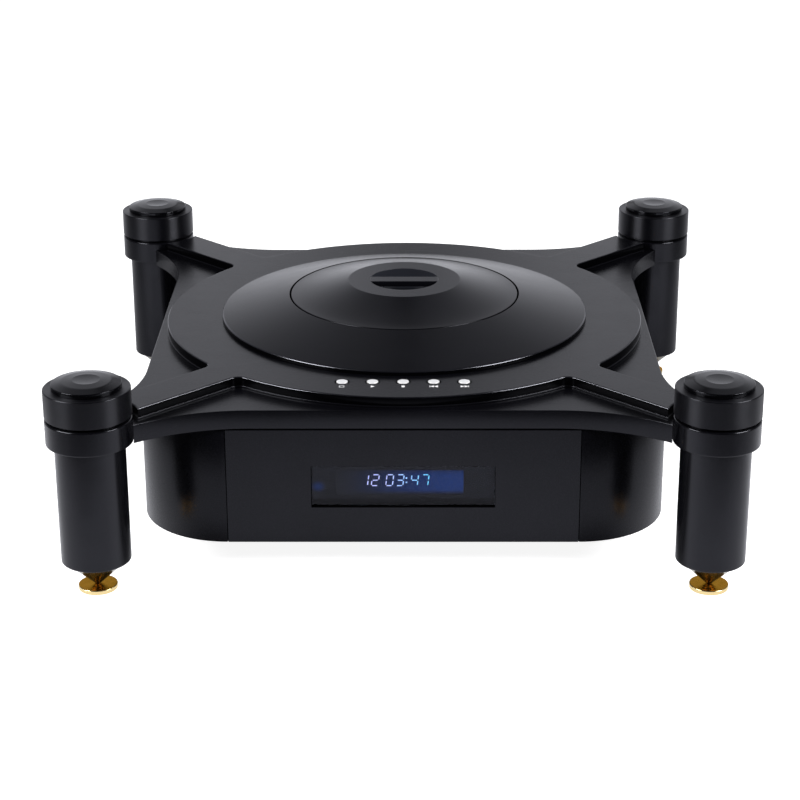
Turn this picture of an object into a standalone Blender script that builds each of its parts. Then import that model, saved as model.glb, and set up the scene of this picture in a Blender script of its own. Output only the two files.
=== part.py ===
"""A top loading disc player: a drum shaped body under two stacked decks, carried by four pillars."""

import math

import bmesh
import bpy
from mathutils import Matrix, Vector

# General clearances
SEAT_GAP = 0.0003
RUNNING_GAP = 0.0004
OVERRUN = 0.003
MERGE_DISTANCE = 0.00001

# How finely round shapes are cut
PILLAR_SIDES = 20
DECK_ARC_STEPS = 14
RING_SIDES = 48
SMALL_SIDES = 12
FILLET_STEPS = 3
CORNER_STEPS = 7
FLARE_STEPS = 4
SMOOTH_ANGLE = math.radians(35)

# Pillars, from the floor up
SHOE_RADIUS = 0.0128
SHOE_HEIGHT = 0.0030
SHOE_EDGE = 0.0005
DIMPLE_RADIUS = 0.0022
DIMPLE_DEPTH = 0.0012
SPIKE_RADIUS = 0.0196
SPIKE_TIP_RADIUS = 0.0006
SPIKE_RIM_HEIGHT = 0.0004
SPIKE_STUD_RADIUS = 0.0040
SPIKE_STUD_LENGTH = 0.0120
LEG_CLEARANCE = 0.0208
LEG_RADIUS = 0.0228
LEG_LENGTH = 0.0823
LEG_EDGE = 0.0010
SPIGOT_RADIUS = 0.0090
SPIGOT_LENGTH = 0.0065
COLLAR_RADIUS = 0.0280
COLLAR_HEIGHT = 0.0166
COLLAR_EDGE = 0.0008
GROOVE_HEIGHT = 0.0017
GROOVE_DEPTH = 0.0030
CAP_HEIGHT = 0.0183
CAP_EDGE = 0.0007
CAP_DISC_RADIUS = 0.0225
CAP_DISC_SIDE = 0.0030
CAP_DISC_CROWN = 0.0021
CAP_DISC_CROWN_SHARE = 0.7
CAP_DISC_DISH_RADIUS = 0.0090
CAP_DISC_DISH_DEPTH = 0.0008
CAP_DISC_PEG_RADIUS = 0.0040
CAP_DISC_PEG_LENGTH = 0.0030
ARM_STUD_RADIUS = 0.0030
ARM_STUD_REACH = 0.0120

# Lower deck
PILLAR_OUTSET = 0.0253
LOWER_DECK_THICKNESS = 0.0128
LOWER_DECK_DROP = 0.0020
LOWER_DECK_EDGE = 0.0005
SWEEP_INSET = 0.0757
SWEEP_RADIUS = 0.1200
DRIVE_BAY_MARGIN = 0.0070

# Upper deck
UPPER_DECK_SETBACK = 0.0047
UPPER_DECK_THICKNESS = 0.0070
UPPER_DECK_EDGE = 0.0008
ARM_WIDTH = 0.0284
ARM_GAP = 0.0042
ARM_FILLET = 0.0070

# Buttons along the front of the upper deck
BUTTON_COUNT = 5
BUTTON_PITCH = 0.0202
BUTTON_SETBACK = 0.0287
BUTTON_RADIUS = 0.0037
BUTTON_PROUD = 0.0014
BUTTON_CROWN = 0.0004
BUTTON_FLANGE_WIDTH = 0.0014
BUTTON_FLANGE_THICKNESS = 0.0014
BUTTON_TRAVEL = 0.0010
BUTTON_BOARD_MARGIN = 0.0060
BUTTON_BOARD_THICKNESS = 0.0016
BUTTON_BOARD_DEPTH = 0.0150
POCKET_DEPTH = 0.0088
SWITCH_WIDTH = 0.0060
SWITCH_SOCKET_SHARE = 0.5

# Lid ring and lid
BUTTON_BAND = 0.0392
RING_RIM_HEIGHT = 0.0028
RING_RISE = 0.0123
RING_WIDTH = 0.0496
RING_WELL_GAP = 0.0025
LID_SEAT_WIDTH = 0.0032
LID_SEAM = 0.0004
LID_RISE = 0.0097
LID_FLARE = 1.25
LID_EDGE_HEIGHT = 0.0030
LID_WALL = 0.0030
LID_FLAT_RADIUS = 0.0401
RECESS_RADIUS = 0.0244
RECESS_DEPTH = 0.0120
RECESS_FLOOR = 0.0036
LID_BAR_WIDTH = 0.0106
LID_BAR_THICKNESS = 0.0040

# Disc clamp under the lid
STEM_THREAD_RADIUS = 0.0020
STEM_THREAD_LENGTH = 0.0024
STEM_RADIUS = 0.0040
STEM_HEAD_RADIUS = 0.0068
STEM_HEAD_HEIGHT = 0.0020
STEM_LENGTH = 0.0056
PUCK_RADIUS = 0.0165
PUCK_BORE_RADIUS = 0.0079
PUCK_WEB = 0.0030
PUCK_PLAY = 0.0008
PUCK_EDGE = 0.0008

# Disc well and disc drive
WELL_RADIUS = 0.0660
WELL_WALL = 0.0020
WELL_DEPTH = 0.0065
WELL_FLANGE_WIDTH = 0.0095
WELL_FLANGE_THICKNESS = 0.0015
WELL_DECK_CLEARANCE = 0.0020
PLATTER_DROP = 0.0025
PLATTER_RADIUS = 0.0160
PLATTER_THICKNESS = 0.0025
NOSE_RADIUS = 0.0072
NOSE_HEIGHT = 0.0028
SHAFT_RADIUS = 0.0015
SHAFT_SINK = 0.0090
SHAFT_HOLE_RADIUS = 0.0040
DRIVE_BASE_DROP = 0.0035
DRIVE_BASE_THICKNESS = 0.0025
DRIVE_BASE_WIDTH = 0.0560
DRIVE_BASE_BACK = 0.0320
DRIVE_POST_RADIUS = 0.0030
DRIVE_POST_INSET = 0.0060
LUG_THICKNESS = 0.0030
LUG_DROP = 0.0105
LUG_WIDTH = 0.0480
MOTOR_RADIUS = 0.0120
MOTOR_HEIGHT = 0.0120
MOTOR_EDGE = 0.0006
LENS_START = 0.0230
PICKUP_TRAVEL = 0.0350
CARRIAGE_LENGTH = 0.0160
CARRIAGE_LEAD = 0.0050
CARRIAGE_WIDTH = 0.0460
CARRIAGE_HEIGHT = 0.0080
CARRIAGE_GAP = 0.0007
TURRET_WIDTH = 0.0120
TURRET_SETBACK = 0.0010
TURRET_GAP = 0.0015
LENS_RADIUS = 0.0035
LENS_DROP = 0.0017
TURRET_DROP = 0.0030
ROD_RADIUS = 0.0015
ROD_SPACING = 0.0360
SCREW_RADIUS = 0.0020
SCREW_SHAFT_RADIUS = 0.0010
SCREW_SHAFT_LENGTH = 0.0060
SLED_MOTOR_RADIUS = 0.0060
SLED_MOTOR_LENGTH = 0.0150

# Body under the decks
BODY_GAP = 0.0009
BODY_HEIGHT = 0.0800
BODY_CORNER_RADIUS = 0.0605
BODY_SIDE = 0.0023
SHELL_WALL = 0.0060
PANEL_THICKNESS = 0.0067
PANEL_SEAM = 0.0005
TAB_WIDTH = 0.0160
TAB_THICKNESS = 0.0040
SCREW_POST_RADIUS = 0.0060
SCREW_POST_SINK = 0.0030
BOTTOM_THICKNESS = 0.0016
BOTTOM_INSET = 0.0050

# Display in the front panel
WINDOW_WIDTH = 0.1210
WINDOW_HEIGHT = 0.0292
WINDOW_DROP = 0.0257
GLASS_MARGIN = 0.0030
GLASS_THICKNESS = 0.0020
GLASS_RECESS = 0.0022
DISPLAY_WIDTH = 0.0900
DISPLAY_HEIGHT = 0.0260
DISPLAY_DEPTH = 0.0070
DISPLAY_BOARD_MARGIN = 0.0080
DISPLAY_BOARD_THICKNESS = 0.0016

# Electronics on the bottom plate
BOARD_WIDTH = 0.1000
BOARD_THICKNESS = 0.0016
BOARD_SIDE_GAP = 0.0297
BOARD_TRANSFORMER_GAP = 0.0430
BOARD_REAR_GAP = 0.0847
STANDOFF_RADIUS = 0.0030
STANDOFF_HEIGHT = 0.0080
STANDOFF_INSET = 0.0060
HEATSINK_SIZE = (0.0400, 0.0120, 0.0220)
CHIP_SIZE = (0.0200, 0.0200, 0.0030)
CAPACITOR_COUNT = 3
CAPACITOR_SPACING_SHARE = 3
CAPACITOR_RADIUS = 0.0070
CAPACITOR_HEIGHT = 0.0250
TRANSFORMER_RADIUS = 0.0420
TRANSFORMER_BORE = 0.0120
TRANSFORMER_HEIGHT = 0.0380
TRANSFORMER_EDGE = 0.0080
TRANSFORMER_SIDE_GAP = 0.0427
TRANSFORMER_REAR_GAP = 0.0727

# Sockets on the rear panel
SOCKET_LEVEL = 0.0420
INLET_INSET = 0.0315
INLET_SIZE = (0.0280, 0.0200)
INLET_FLANGE = 0.0040
INLET_FLANGE_THICKNESS = 0.0030
INLET_DEPTH = 0.0220
INLET_CAVITY_INSET = 0.0030
INLET_CAVITY_DEPTH = 0.0150
SWITCH_SPACING = 0.0400
ROCKER_WIDTH = 0.0120
ROCKER_RADIUS = 0.0065
ROCKER_CREST = 0.0078
ROCKER_DISH = 0.0035
ROCKER_TILT = math.radians(10)
ROCKER_CREST_ANGLE = math.radians(40)
HOUSING_WALL = 0.0020
HOUSING_FLANGE = 0.0020
HOUSING_FLANGE_THICKNESS = 0.0015
HOUSING_DEPTH = 0.0150
PIVOT_SINK = 0.0030
JACK_INSET = 0.0565
JACK_PITCH = 0.0240
JACK_COUNT = 3
JACK_RADIUS = 0.0042
NUT_SIDES = 6
JACK_NUT_RADIUS = 0.0065
JACK_NUT_THICKNESS = 0.0020
JACK_LENGTH = 0.0100
JACK_BORE_RADIUS = 0.0016
JACK_BORE_DEPTH = 0.0080
JACK_PLATE_MARGIN = 0.0100
JACK_PLATE_HEIGHT = 0.0240
JACK_PLATE_THICKNESS = 0.0080

# Levels and places that follow from the sizes above
LEG_TOP = LEG_CLEARANCE + LEG_LENGTH
COLLAR_Z = LEG_TOP + SEAT_GAP
COLLAR_TOP = COLLAR_Z + COLLAR_HEIGHT
CAP_Z = COLLAR_TOP + SEAT_GAP + GROOVE_HEIGHT
CAP_TOP = CAP_Z + CAP_HEIGHT
CAP_DISC_Z = CAP_TOP + SEAT_GAP
LOWER_DECK_Z = COLLAR_Z - LOWER_DECK_DROP
LOWER_DECK_TOP = LOWER_DECK_Z + LOWER_DECK_THICKNESS
UPPER_DECK_Z = LOWER_DECK_TOP + SEAT_GAP
UPPER_DECK_TOP = UPPER_DECK_Z + UPPER_DECK_THICKNESS
RING_Z = UPPER_DECK_TOP + SEAT_GAP
SEAM_Z = RING_Z + RING_RIM_HEIGHT + RING_RISE
LID_TOP = SEAM_Z + LID_RISE
LID_UNDERSIDE = LID_TOP - RECESS_DEPTH - RECESS_FLOOR
RING_BORE_RADIUS = WELL_RADIUS + WELL_FLANGE_WIDTH + RING_WELL_GAP
LID_RADIUS = RING_BORE_RADIUS + LID_SEAT_WIDTH
RING_RADIUS = LID_RADIUS + RING_WIDTH
UPPER_DECK_RADIUS = RING_RADIUS + BUTTON_BAND
DECK_HALF = UPPER_DECK_RADIUS + UPPER_DECK_SETBACK
PILLAR_OFFSET = DECK_HALF + PILLAR_OUTSET
PILLAR_DIAGONAL = PILLAR_OFFSET * math.sqrt(2)
BUTTON_ROW_Y = BUTTON_SETBACK - UPPER_DECK_RADIUS
BUTTON_HOLE_RADIUS = BUTTON_RADIUS + RUNNING_GAP
BUTTON_FLANGE_RADIUS = BUTTON_RADIUS + BUTTON_FLANGE_WIDTH
BUTTON_FLANGE_TOP = UPPER_DECK_Z - SEAT_GAP
BUTTON_BOTTOM = BUTTON_FLANGE_TOP - BUTTON_FLANGE_THICKNESS
SWITCH_TOP = BUTTON_BOTTOM - BUTTON_TRAVEL - SEAT_GAP
POCKET_FLOOR = LOWER_DECK_TOP - POCKET_DEPTH
BUTTON_BOARD_WIDTH = BUTTON_PITCH * (BUTTON_COUNT - 1) + 2 * (BUTTON_FLANGE_RADIUS + BUTTON_BOARD_MARGIN)
BUTTON_XS = [BUTTON_PITCH * (i - (BUTTON_COUNT - 1) / 2) for i in range(BUTTON_COUNT)]
PLATTER_TOP = UPPER_DECK_TOP - PLATTER_DROP
WELL_FLOOR_TOP = UPPER_DECK_TOP - WELL_DEPTH
WELL_UNDERSIDE = WELL_FLOOR_TOP - WELL_WALL
WELL_HOLE_RADIUS = WELL_RADIUS + WELL_WALL + WELL_DECK_CLEARANCE
DRIVE_BASE_TOP = WELL_UNDERSIDE - DRIVE_BASE_DROP
DRIVE_BASE_Z = DRIVE_BASE_TOP - DRIVE_BASE_THICKNESS
CARRIAGE_TOP = DRIVE_BASE_Z - CARRIAGE_GAP
ROD_Z = CARRIAGE_TOP - CARRIAGE_HEIGHT / 2
CARRIAGE_START = LENS_START - CARRIAGE_LEAD
CARRIAGE_STOP = CARRIAGE_START + CARRIAGE_LENGTH + PICKUP_TRAVEL
INNER_LUG_X = CARRIAGE_START - CARRIAGE_GAP - LUG_THICKNESS
OUTER_LUG_X = CARRIAGE_STOP + CARRIAGE_GAP
DRIVE_BASE_FRONT = OUTER_LUG_X + LUG_THICKNESS
DRIVE_BAY_RADIUS = DRIVE_BASE_FRONT + SEAT_GAP + SLED_MOTOR_LENGTH + DRIVE_BAY_MARGIN
MOTOR_TOP = DRIVE_BASE_Z - SEAT_GAP
SHAFT_END = MOTOR_TOP - SHAFT_SINK
BODY_TOP = LOWER_DECK_Z - BODY_GAP
BODY_Z = BODY_TOP - BODY_HEIGHT
CORNER_Y = DECK_HALF - BODY_CORNER_RADIUS
CORNER_X = CORNER_Y + BODY_SIDE
PANEL_BACK_Y = DECK_HALF - PANEL_THICKNESS
TAB_FACE_Y = PANEL_BACK_Y - SEAT_GAP
WINDOW_TOP = BODY_TOP - WINDOW_DROP
WINDOW_Z = WINDOW_TOP - WINDOW_HEIGHT / 2
GLASS_FACE_Y = -TAB_FACE_Y
DISPLAY_FACE_Y = GLASS_FACE_Y + GLASS_THICKNESS + SEAT_GAP
BOTTOM_TOP = BODY_Z - SEAT_GAP
BOTTOM_Z = BOTTOM_TOP - BOTTOM_THICKNESS
TRANSFORMER_X = TRANSFORMER_SIDE_GAP + TRANSFORMER_RADIUS - DECK_HALF
TRANSFORMER_Y = DECK_HALF - TRANSFORMER_REAR_GAP - TRANSFORMER_RADIUS
BOARD_RIGHT = DECK_HALF - BOARD_SIDE_GAP
BOARD_LEFT = TRANSFORMER_X + TRANSFORMER_RADIUS + BOARD_TRANSFORMER_GAP
BOARD_LENGTH = BOARD_RIGHT - BOARD_LEFT
BOARD_CENTRE_X = (BOARD_LEFT + BOARD_RIGHT) / 2
BOARD_CENTRE_Y = DECK_HALF - BOARD_REAR_GAP - BOARD_WIDTH / 2
BOARD_Z = BOTTOM_TOP + STANDOFF_HEIGHT + SEAT_GAP
SOCKET_Z = BODY_Z + SOCKET_LEVEL
INLET_X = INLET_INSET - CORNER_X
SWITCH_X = INLET_X + SWITCH_SPACING
JACK_X = CORNER_X - JACK_INSET
ROCKER_PIVOT_Y = DECK_HALF - PIVOT_SINK
ROCKER_CAVITY_RADIUS = ROCKER_CREST + RUNNING_GAP
JACK_PLATE_Y = PANEL_BACK_Y - SEAT_GAP - JACK_PLATE_THICKNESS / 2
PILLARS = {"front_left": (-1, -1), "front_right": (1, -1), "rear_left": (-1, 1), "rear_right": (1, 1)}


def start_scene():
    """Clears the scene and makes the two collections, for the pieces and for the cutters."""
    for obj in list(bpy.data.objects):
        bpy.data.objects.remove(obj)
    found = {}
    for name in ("Disc player", "Cutters"):
        found[name] = bpy.data.collections.new(name)
        bpy.context.scene.collection.children.link(found[name])
    found["Cutters"].hide_render = True
    return found["Disc player"], found["Cutters"]


PIECES, CUTTERS = start_scene()


def finish(name, color, roughness, metallic=0.0):
    """A material with one Principled shader."""
    material = bpy.data.materials.new(name)
    material.use_nodes = True
    shader = material.node_tree.nodes["Principled BSDF"]
    shader.inputs["Base Color"].default_value = (*color, 1)
    shader.inputs["Roughness"].default_value = roughness
    shader.inputs["Metallic"].default_value = metallic
    return material


BLACK_METAL = finish("Black anodised metal", (0.020, 0.020, 0.022), 0.38, 0.6)
GLOSS_BLACK = finish("Polished black metal", (0.012, 0.012, 0.013), 0.12, 0.6)
BRASS = finish("Polished brass", (0.80, 0.52, 0.16), 0.18, 1.0)
SILVER = finish("Satin silver", (0.72, 0.72, 0.73), 0.28, 1.0)
STEEL = finish("Plain steel", (0.50, 0.50, 0.52), 0.35, 1.0)
SMOKED_GLASS = finish("Smoked glass", (0.010, 0.012, 0.016), 0.05)
BLACK_PLASTIC = finish("Black plastic", (0.015, 0.015, 0.015), 0.50)
CIRCUIT_BOARD = finish("Circuit board", (0.02, 0.12, 0.06), 0.45)
WRAPPING = finish("Transformer wrapping", (0.45, 0.36, 0.08), 0.40)


def new_object(name, mesh, material, place=(0, 0, 0), turn=0.0, collection=PIECES):
    """An object of that mesh, turned about Z, in a collection."""
    obj = bpy.data.objects.new(name, mesh)
    obj.location = place
    obj.rotation_euler = (0, 0, turn)
    collection.objects.link(obj)
    if material and not mesh.materials:
        mesh.materials.append(material)
    return obj


def turned(name, profile, sides, material, place=(0, 0, 0), collection=PIECES, closed=False):
    """A solid turned about Z. The profile's (radius, height) points run down the outer side."""
    mesh = bpy.data.meshes.new(name)
    edges = [(i, i + 1) for i in range(len(profile) - 1)]
    if closed:
        edges.append((len(profile) - 1, 0))
    mesh.from_pydata([(radius, 0, height) for radius, height in profile], edges, [])
    obj = new_object(name, mesh, material, place, collection=collection)
    screw = obj.modifiers.new("Turn", "SCREW")
    screw.steps = sides
    screw.render_steps = sides
    screw.use_merge_vertices = True
    screw.merge_threshold = MERGE_DISTANCE
    return obj


def box(name, low, high, material, collection=PIECES):
    """A block between two corners."""
    mesh = bpy.data.meshes.new(name)
    shape = bmesh.new()
    bmesh.ops.create_cube(shape, size=1)
    size = Vector(high) - Vector(low)
    bmesh.ops.scale(shape, vec=size, verts=shape.verts)
    shape.to_mesh(mesh)
    shape.free()
    return new_object(name, mesh, material, (Vector(low) + Vector(high)) / 2, collection=collection)


def rod(name, start, end, radius, sides, material, collection=PIECES):
    """A round bar from one point to another."""
    mesh = bpy.data.meshes.new(name)
    span = Vector(end) - Vector(start)
    shape = bmesh.new()
    bmesh.ops.create_cone(
        shape, cap_ends=True, segments=sides, radius1=radius, radius2=radius, depth=span.length
    )
    aim = span.to_track_quat("Z", "Y").to_matrix().to_4x4()
    bmesh.ops.transform(shape, matrix=aim, verts=shape.verts)
    shape.to_mesh(mesh)
    shape.free()
    return new_object(name, mesh, material, (Vector(start) + Vector(end)) / 2, collection=collection)


def outline_solid(name, points, low, high, material, edge=0.0, collection=PIECES):
    """A flat outline in XY made solid between two levels, with a chamfer round both rims."""
    curve = bpy.data.curves.new(name, "CURVE")
    curve.dimensions = "2D"
    curve.fill_mode = "BOTH"
    curve.extrude = (high - low) / 2 - edge
    curve.bevel_depth = edge
    curve.bevel_resolution = 0
    curve.offset = -edge
    spline = curve.splines.new("POLY")
    spline.points.add(len(points) - 1)
    for point, (x, y) in zip(spline.points, points):
        point.co = (x, y, 0, 1)
    spline.use_cyclic_u = True
    guide = new_object(name + "_outline", curve, None, (0, 0, (low + high) / 2), collection=CUTTERS)
    return curve_to_mesh(name, guide, material, collection)


def curve_to_mesh(name, guide, material, collection):
    """A mesh object in place of a curve, with its caps welded on."""
    bpy.context.view_layer.update()
    graph = bpy.context.evaluated_depsgraph_get()
    mesh = bpy.data.meshes.new_from_object(guide.evaluated_get(graph))
    shape = bmesh.new()
    shape.from_mesh(mesh)
    bmesh.ops.remove_doubles(shape, verts=shape.verts, dist=MERGE_DISTANCE)
    bmesh.ops.recalc_face_normals(shape, faces=shape.faces)
    shape.to_mesh(mesh)
    shape.free()
    mesh.materials.clear()
    obj = new_object(name, mesh, material, collection=collection)
    obj.matrix_world = guide.matrix_world.copy()
    bpy.data.objects.remove(guide)
    return obj


def combine(obj, others, operation):
    """Cuts the other objects from obj, or joins them to it, and hides them."""
    for other in others:
        other.hide_render = True
        other.display_type = "WIRE"
        modifier = obj.modifiers.new(other.name, "BOOLEAN")
        modifier.operation = operation
        modifier.object = other


def cut(obj, *others):
    """Takes the cutters' shapes out of obj."""
    combine(obj, others, "DIFFERENCE")


def join(obj, *others):
    """Makes obj one solid with the others, which overlap it."""
    combine(obj, others, "UNION")


def arc(centre, radius, start, end, steps):
    """Points along a circle from one angle to another, both ends included."""
    angles = [start + (end - start) * i / steps for i in range(steps + 1)]
    return [(centre[0] + radius * math.cos(a), centre[1] + radius * math.sin(a)) for a in angles]


def rotated(points, angle):
    """Points turned about the origin."""
    turn = Matrix.Rotation(angle, 2)
    return [tuple(turn @ Vector(point)) for point in points]


def mirrored(points):
    """The same outline for the other side, in the order that keeps it going round the same way."""
    return [(-x, y) for x, y in reversed(points)]


def pillar_profiles():
    """Profiles of the turned pieces of one pillar, in their order from the floor."""
    dimple_floor = SHOE_HEIGHT - DIMPLE_DEPTH
    tip = dimple_floor + SEAT_GAP
    bore = SPIKE_STUD_RADIUS + SEAT_GAP
    stud_top = LEG_CLEARANCE + SPIKE_STUD_LENGTH
    spike_top = LEG_CLEARANCE - SEAT_GAP
    cone_top = spike_top - SPIKE_RIM_HEIGHT
    spigot_bore = SPIGOT_RADIUS + SEAT_GAP
    spigot_space = SPIGOT_LENGTH + SEAT_GAP
    groove_radius = COLLAR_RADIUS - GROOVE_DEPTH
    rim = CAP_DISC_Z + CAP_DISC_SIDE
    crown = rim + CAP_DISC_CROWN
    peg_bore = CAP_DISC_PEG_RADIUS + SEAT_GAP
    shoe = [
        (0, dimple_floor),
        (DIMPLE_RADIUS, SHOE_HEIGHT),
        (SHOE_RADIUS - SHOE_EDGE, SHOE_HEIGHT),
        (SHOE_RADIUS, SHOE_HEIGHT - SHOE_EDGE),
        (SHOE_RADIUS, SHOE_EDGE),
        (SHOE_RADIUS - SHOE_EDGE, 0),
        (0, 0),
    ]
    spike = [
        (0, stud_top),
        (SPIKE_STUD_RADIUS, stud_top),
        (SPIKE_STUD_RADIUS, spike_top),
        (SPIKE_RADIUS, spike_top),
        (SPIKE_RADIUS, cone_top),
        (SPIKE_TIP_RADIUS, tip),
        (0, tip),
    ]
    leg = [
        (0, LEG_TOP + SPIGOT_LENGTH),
        (SPIGOT_RADIUS, LEG_TOP + SPIGOT_LENGTH),
        (SPIGOT_RADIUS, LEG_TOP),
        (LEG_RADIUS, LEG_TOP),
        (LEG_RADIUS, LEG_CLEARANCE + LEG_EDGE),
        (LEG_RADIUS - LEG_EDGE, LEG_CLEARANCE),
        (bore, LEG_CLEARANCE),
        (bore, stud_top + SEAT_GAP),
        (0, stud_top + SEAT_GAP),
    ]
    collar = [
        (0, COLLAR_TOP - spigot_space),
        (spigot_bore, COLLAR_TOP - spigot_space),
        (spigot_bore, COLLAR_TOP),
        (COLLAR_RADIUS - COLLAR_EDGE, COLLAR_TOP),
        (COLLAR_RADIUS, COLLAR_TOP - COLLAR_EDGE),
        (COLLAR_RADIUS, COLLAR_Z + COLLAR_EDGE),
        (COLLAR_RADIUS - COLLAR_EDGE, COLLAR_Z),
        (spigot_bore, COLLAR_Z),
        (spigot_bore, COLLAR_Z + spigot_space),
        (0, COLLAR_Z + spigot_space),
    ]
    cap = [
        (0, CAP_TOP - CAP_DISC_PEG_LENGTH),
        (peg_bore, CAP_TOP - CAP_DISC_PEG_LENGTH),
        (peg_bore, CAP_TOP),
        (COLLAR_RADIUS - CAP_EDGE, CAP_TOP),
        (COLLAR_RADIUS, CAP_TOP - CAP_EDGE),
        (COLLAR_RADIUS, CAP_Z),
        (groove_radius, CAP_Z),
        (groove_radius, COLLAR_TOP + SEAT_GAP),
        (SPIGOT_RADIUS, COLLAR_TOP + SEAT_GAP),
        (SPIGOT_RADIUS, COLLAR_TOP - SPIGOT_LENGTH),
        (0, COLLAR_TOP - SPIGOT_LENGTH),
    ]
    cap_disc = [
        (0, crown - CAP_DISC_DISH_DEPTH),
        (CAP_DISC_DISH_RADIUS, crown),
        ((CAP_DISC_DISH_RADIUS + CAP_DISC_RADIUS) / 2, rim + CAP_DISC_CROWN * CAP_DISC_CROWN_SHARE),
        (CAP_DISC_RADIUS, rim),
        (CAP_DISC_RADIUS, CAP_DISC_Z),
        (CAP_DISC_PEG_RADIUS, CAP_DISC_Z),
        (CAP_DISC_PEG_RADIUS, CAP_TOP - CAP_DISC_PEG_LENGTH + SEAT_GAP),
        (0, CAP_TOP - CAP_DISC_PEG_LENGTH + SEAT_GAP),
    ]
    return {
        "spike_shoe": (shoe, PILLAR_SIDES, BRASS),
        "spike": (spike, SMALL_SIDES, BRASS),
        "leg": (leg, PILLAR_SIDES, BLACK_METAL),
        "collar": (collar, PILLAR_SIDES, BLACK_METAL),
        "cap": (cap, PILLAR_SIDES, BLACK_METAL),
        "cap_disc": (cap_disc, PILLAR_SIDES, GLOSS_BLACK),
    }


def arm_stud(corner, radius, name):
    """The stud between a collar and the lower deck's arm, from inside the collar towards the middle."""
    x, y = PILLARS[corner]
    level = (LOWER_DECK_Z + LOWER_DECK_TOP) / 2
    inward = Vector((-x, -y, 0)).normalized()
    pillar = Vector((x * PILLAR_OFFSET, y * PILLAR_OFFSET, level))
    start = pillar + inward * (SPIGOT_RADIUS + SEAT_GAP + ARM_STUD_RADIUS)
    end = pillar + inward * (COLLAR_RADIUS + ARM_STUD_REACH + radius - ARM_STUD_RADIUS)
    return rod(name, start, end, radius, SMALL_SIDES, None, CUTTERS)


def make_pillars():
    """Four pillars of six pieces each."""
    for corner, (x, y) in PILLARS.items():
        place = (x * PILLAR_OFFSET, y * PILLAR_OFFSET, 0)
        for piece, (profile, sides, material) in pillar_profiles().items():
            obj = turned(f"{piece}_{corner}", profile, sides, material, place)
            if piece == "collar":
                join(obj, arm_stud(corner, ARM_STUD_RADIUS, f"stud_{corner}"))


def sweep_corner():
    """One corner of the lower deck, from its right edge round the pillar's collar to its rear edge."""
    seat = COLLAR_RADIUS + SEAT_GAP
    radius = SWEEP_RADIUS
    centre = (DECK_HALF + radius, DECK_HALF - SWEEP_INSET)
    across, rise = PILLAR_OFFSET - centre[0], PILLAR_OFFSET - centre[1]
    reach = math.hypot(across, rise)
    back_off = math.acos((radius**2 + reach**2 - seat**2) / (2 * radius * reach))
    sweep = arc(centre, radius, math.pi, math.atan2(rise, across) + back_off, CORNER_STEPS)
    last = Vector(sweep[-1]) - Vector((PILLAR_OFFSET, PILLAR_OFFSET))
    first = math.atan2(last.y, last.x)
    span = 2 * (first + math.radians(135))
    scallop = arc((PILLAR_OFFSET, PILLAR_OFFSET), seat, first, first - span, CORNER_STEPS)
    other = [(y, x) for x, y in reversed(sweep)]
    return sweep + scallop + other


def make_lower_deck():
    """The thick plate whose four corners flare out to the pillars."""
    corner = sweep_corner()
    outline = []
    for quarter in range(4):
        outline += rotated(corner, quarter * math.pi / 2)
    deck = outline_solid(
        "lower_deck", outline, LOWER_DECK_Z, LOWER_DECK_TOP, BLACK_METAL, LOWER_DECK_EDGE
    )
    below = LOWER_DECK_Z - OVERRUN
    above = LOWER_DECK_TOP + OVERRUN
    cutters = [
        rod("bay_cutter", (0, 0, below), (0, 0, above), DRIVE_BAY_RADIUS, RING_SIDES, None, CUTTERS),
        pocket("pocket_cutter", BUTTON_BOARD_DEPTH / 2 + SEAT_GAP, POCKET_FLOOR, above),
    ]
    for name in PILLARS:
        cutters.append(arm_stud(name, ARM_STUD_RADIUS + SEAT_GAP, f"stud_hole_{name}"))
    cut(deck, *cutters)


def pocket(name, half_depth, low, high):
    """The space of the button board in the lower deck."""
    half_width = BUTTON_BOARD_WIDTH / 2 + SEAT_GAP
    return box(
        name,
        (-half_width, BUTTON_ROW_Y - half_depth, low),
        (half_width, BUTTON_ROW_Y + half_depth, high),
        None,
        CUTTERS,
    )


def deck_arm():
    """One straight arm of the upper deck, pointing along +X, with the fillets at its root."""
    half = ARM_WIDTH / 2
    root = math.sqrt((UPPER_DECK_RADIUS + ARM_FILLET) ** 2 - (half + ARM_FILLET) ** 2)
    start = math.atan2(half + ARM_FILLET, -root)
    fillet = arc((root, -half - ARM_FILLET), ARM_FILLET, start, math.pi / 2, FILLET_STEPS)
    seat = COLLAR_RADIUS + ARM_GAP
    spread = math.asin(half / seat)
    end = arc((PILLAR_DIAGONAL, 0), seat, math.pi + spread, math.pi - spread, CORNER_STEPS)
    return fillet + end + [(x, -y) for x, y in reversed(fillet)]


def make_upper_deck():
    """The disc with four arms that lies on the lower deck."""
    arm = deck_arm()
    first = math.atan2(arm[-1][1], arm[-1][0])
    last = math.pi / 2 - first
    outline = []
    for quarter in range(4):
        turn = math.radians(45 + 90 * quarter)
        rim = arc((0, 0), UPPER_DECK_RADIUS, first, last, DECK_ARC_STEPS)[1:-1]
        outline += rotated(arm + rim, turn)
    deck = outline_solid(
        "upper_deck", outline, UPPER_DECK_Z, UPPER_DECK_TOP, BLACK_METAL, UPPER_DECK_EDGE
    )
    below = UPPER_DECK_Z - OVERRUN
    above = UPPER_DECK_TOP + OVERRUN
    start, end = (0, 0, below), (0, 0, above)
    cutters = [rod("well_cutter", start, end, WELL_HOLE_RADIUS, RING_SIDES, None, CUTTERS)]
    for index, x in enumerate(BUTTON_XS):
        low = (x, BUTTON_ROW_Y, below)
        high = (x, BUTTON_ROW_Y, above)
        cutters.append(
            rod(f"button_hole_{index + 1}", low, high, BUTTON_HOLE_RADIUS, SMALL_SIDES, None, CUTTERS)
        )
    cut(deck, *cutters)


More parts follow.
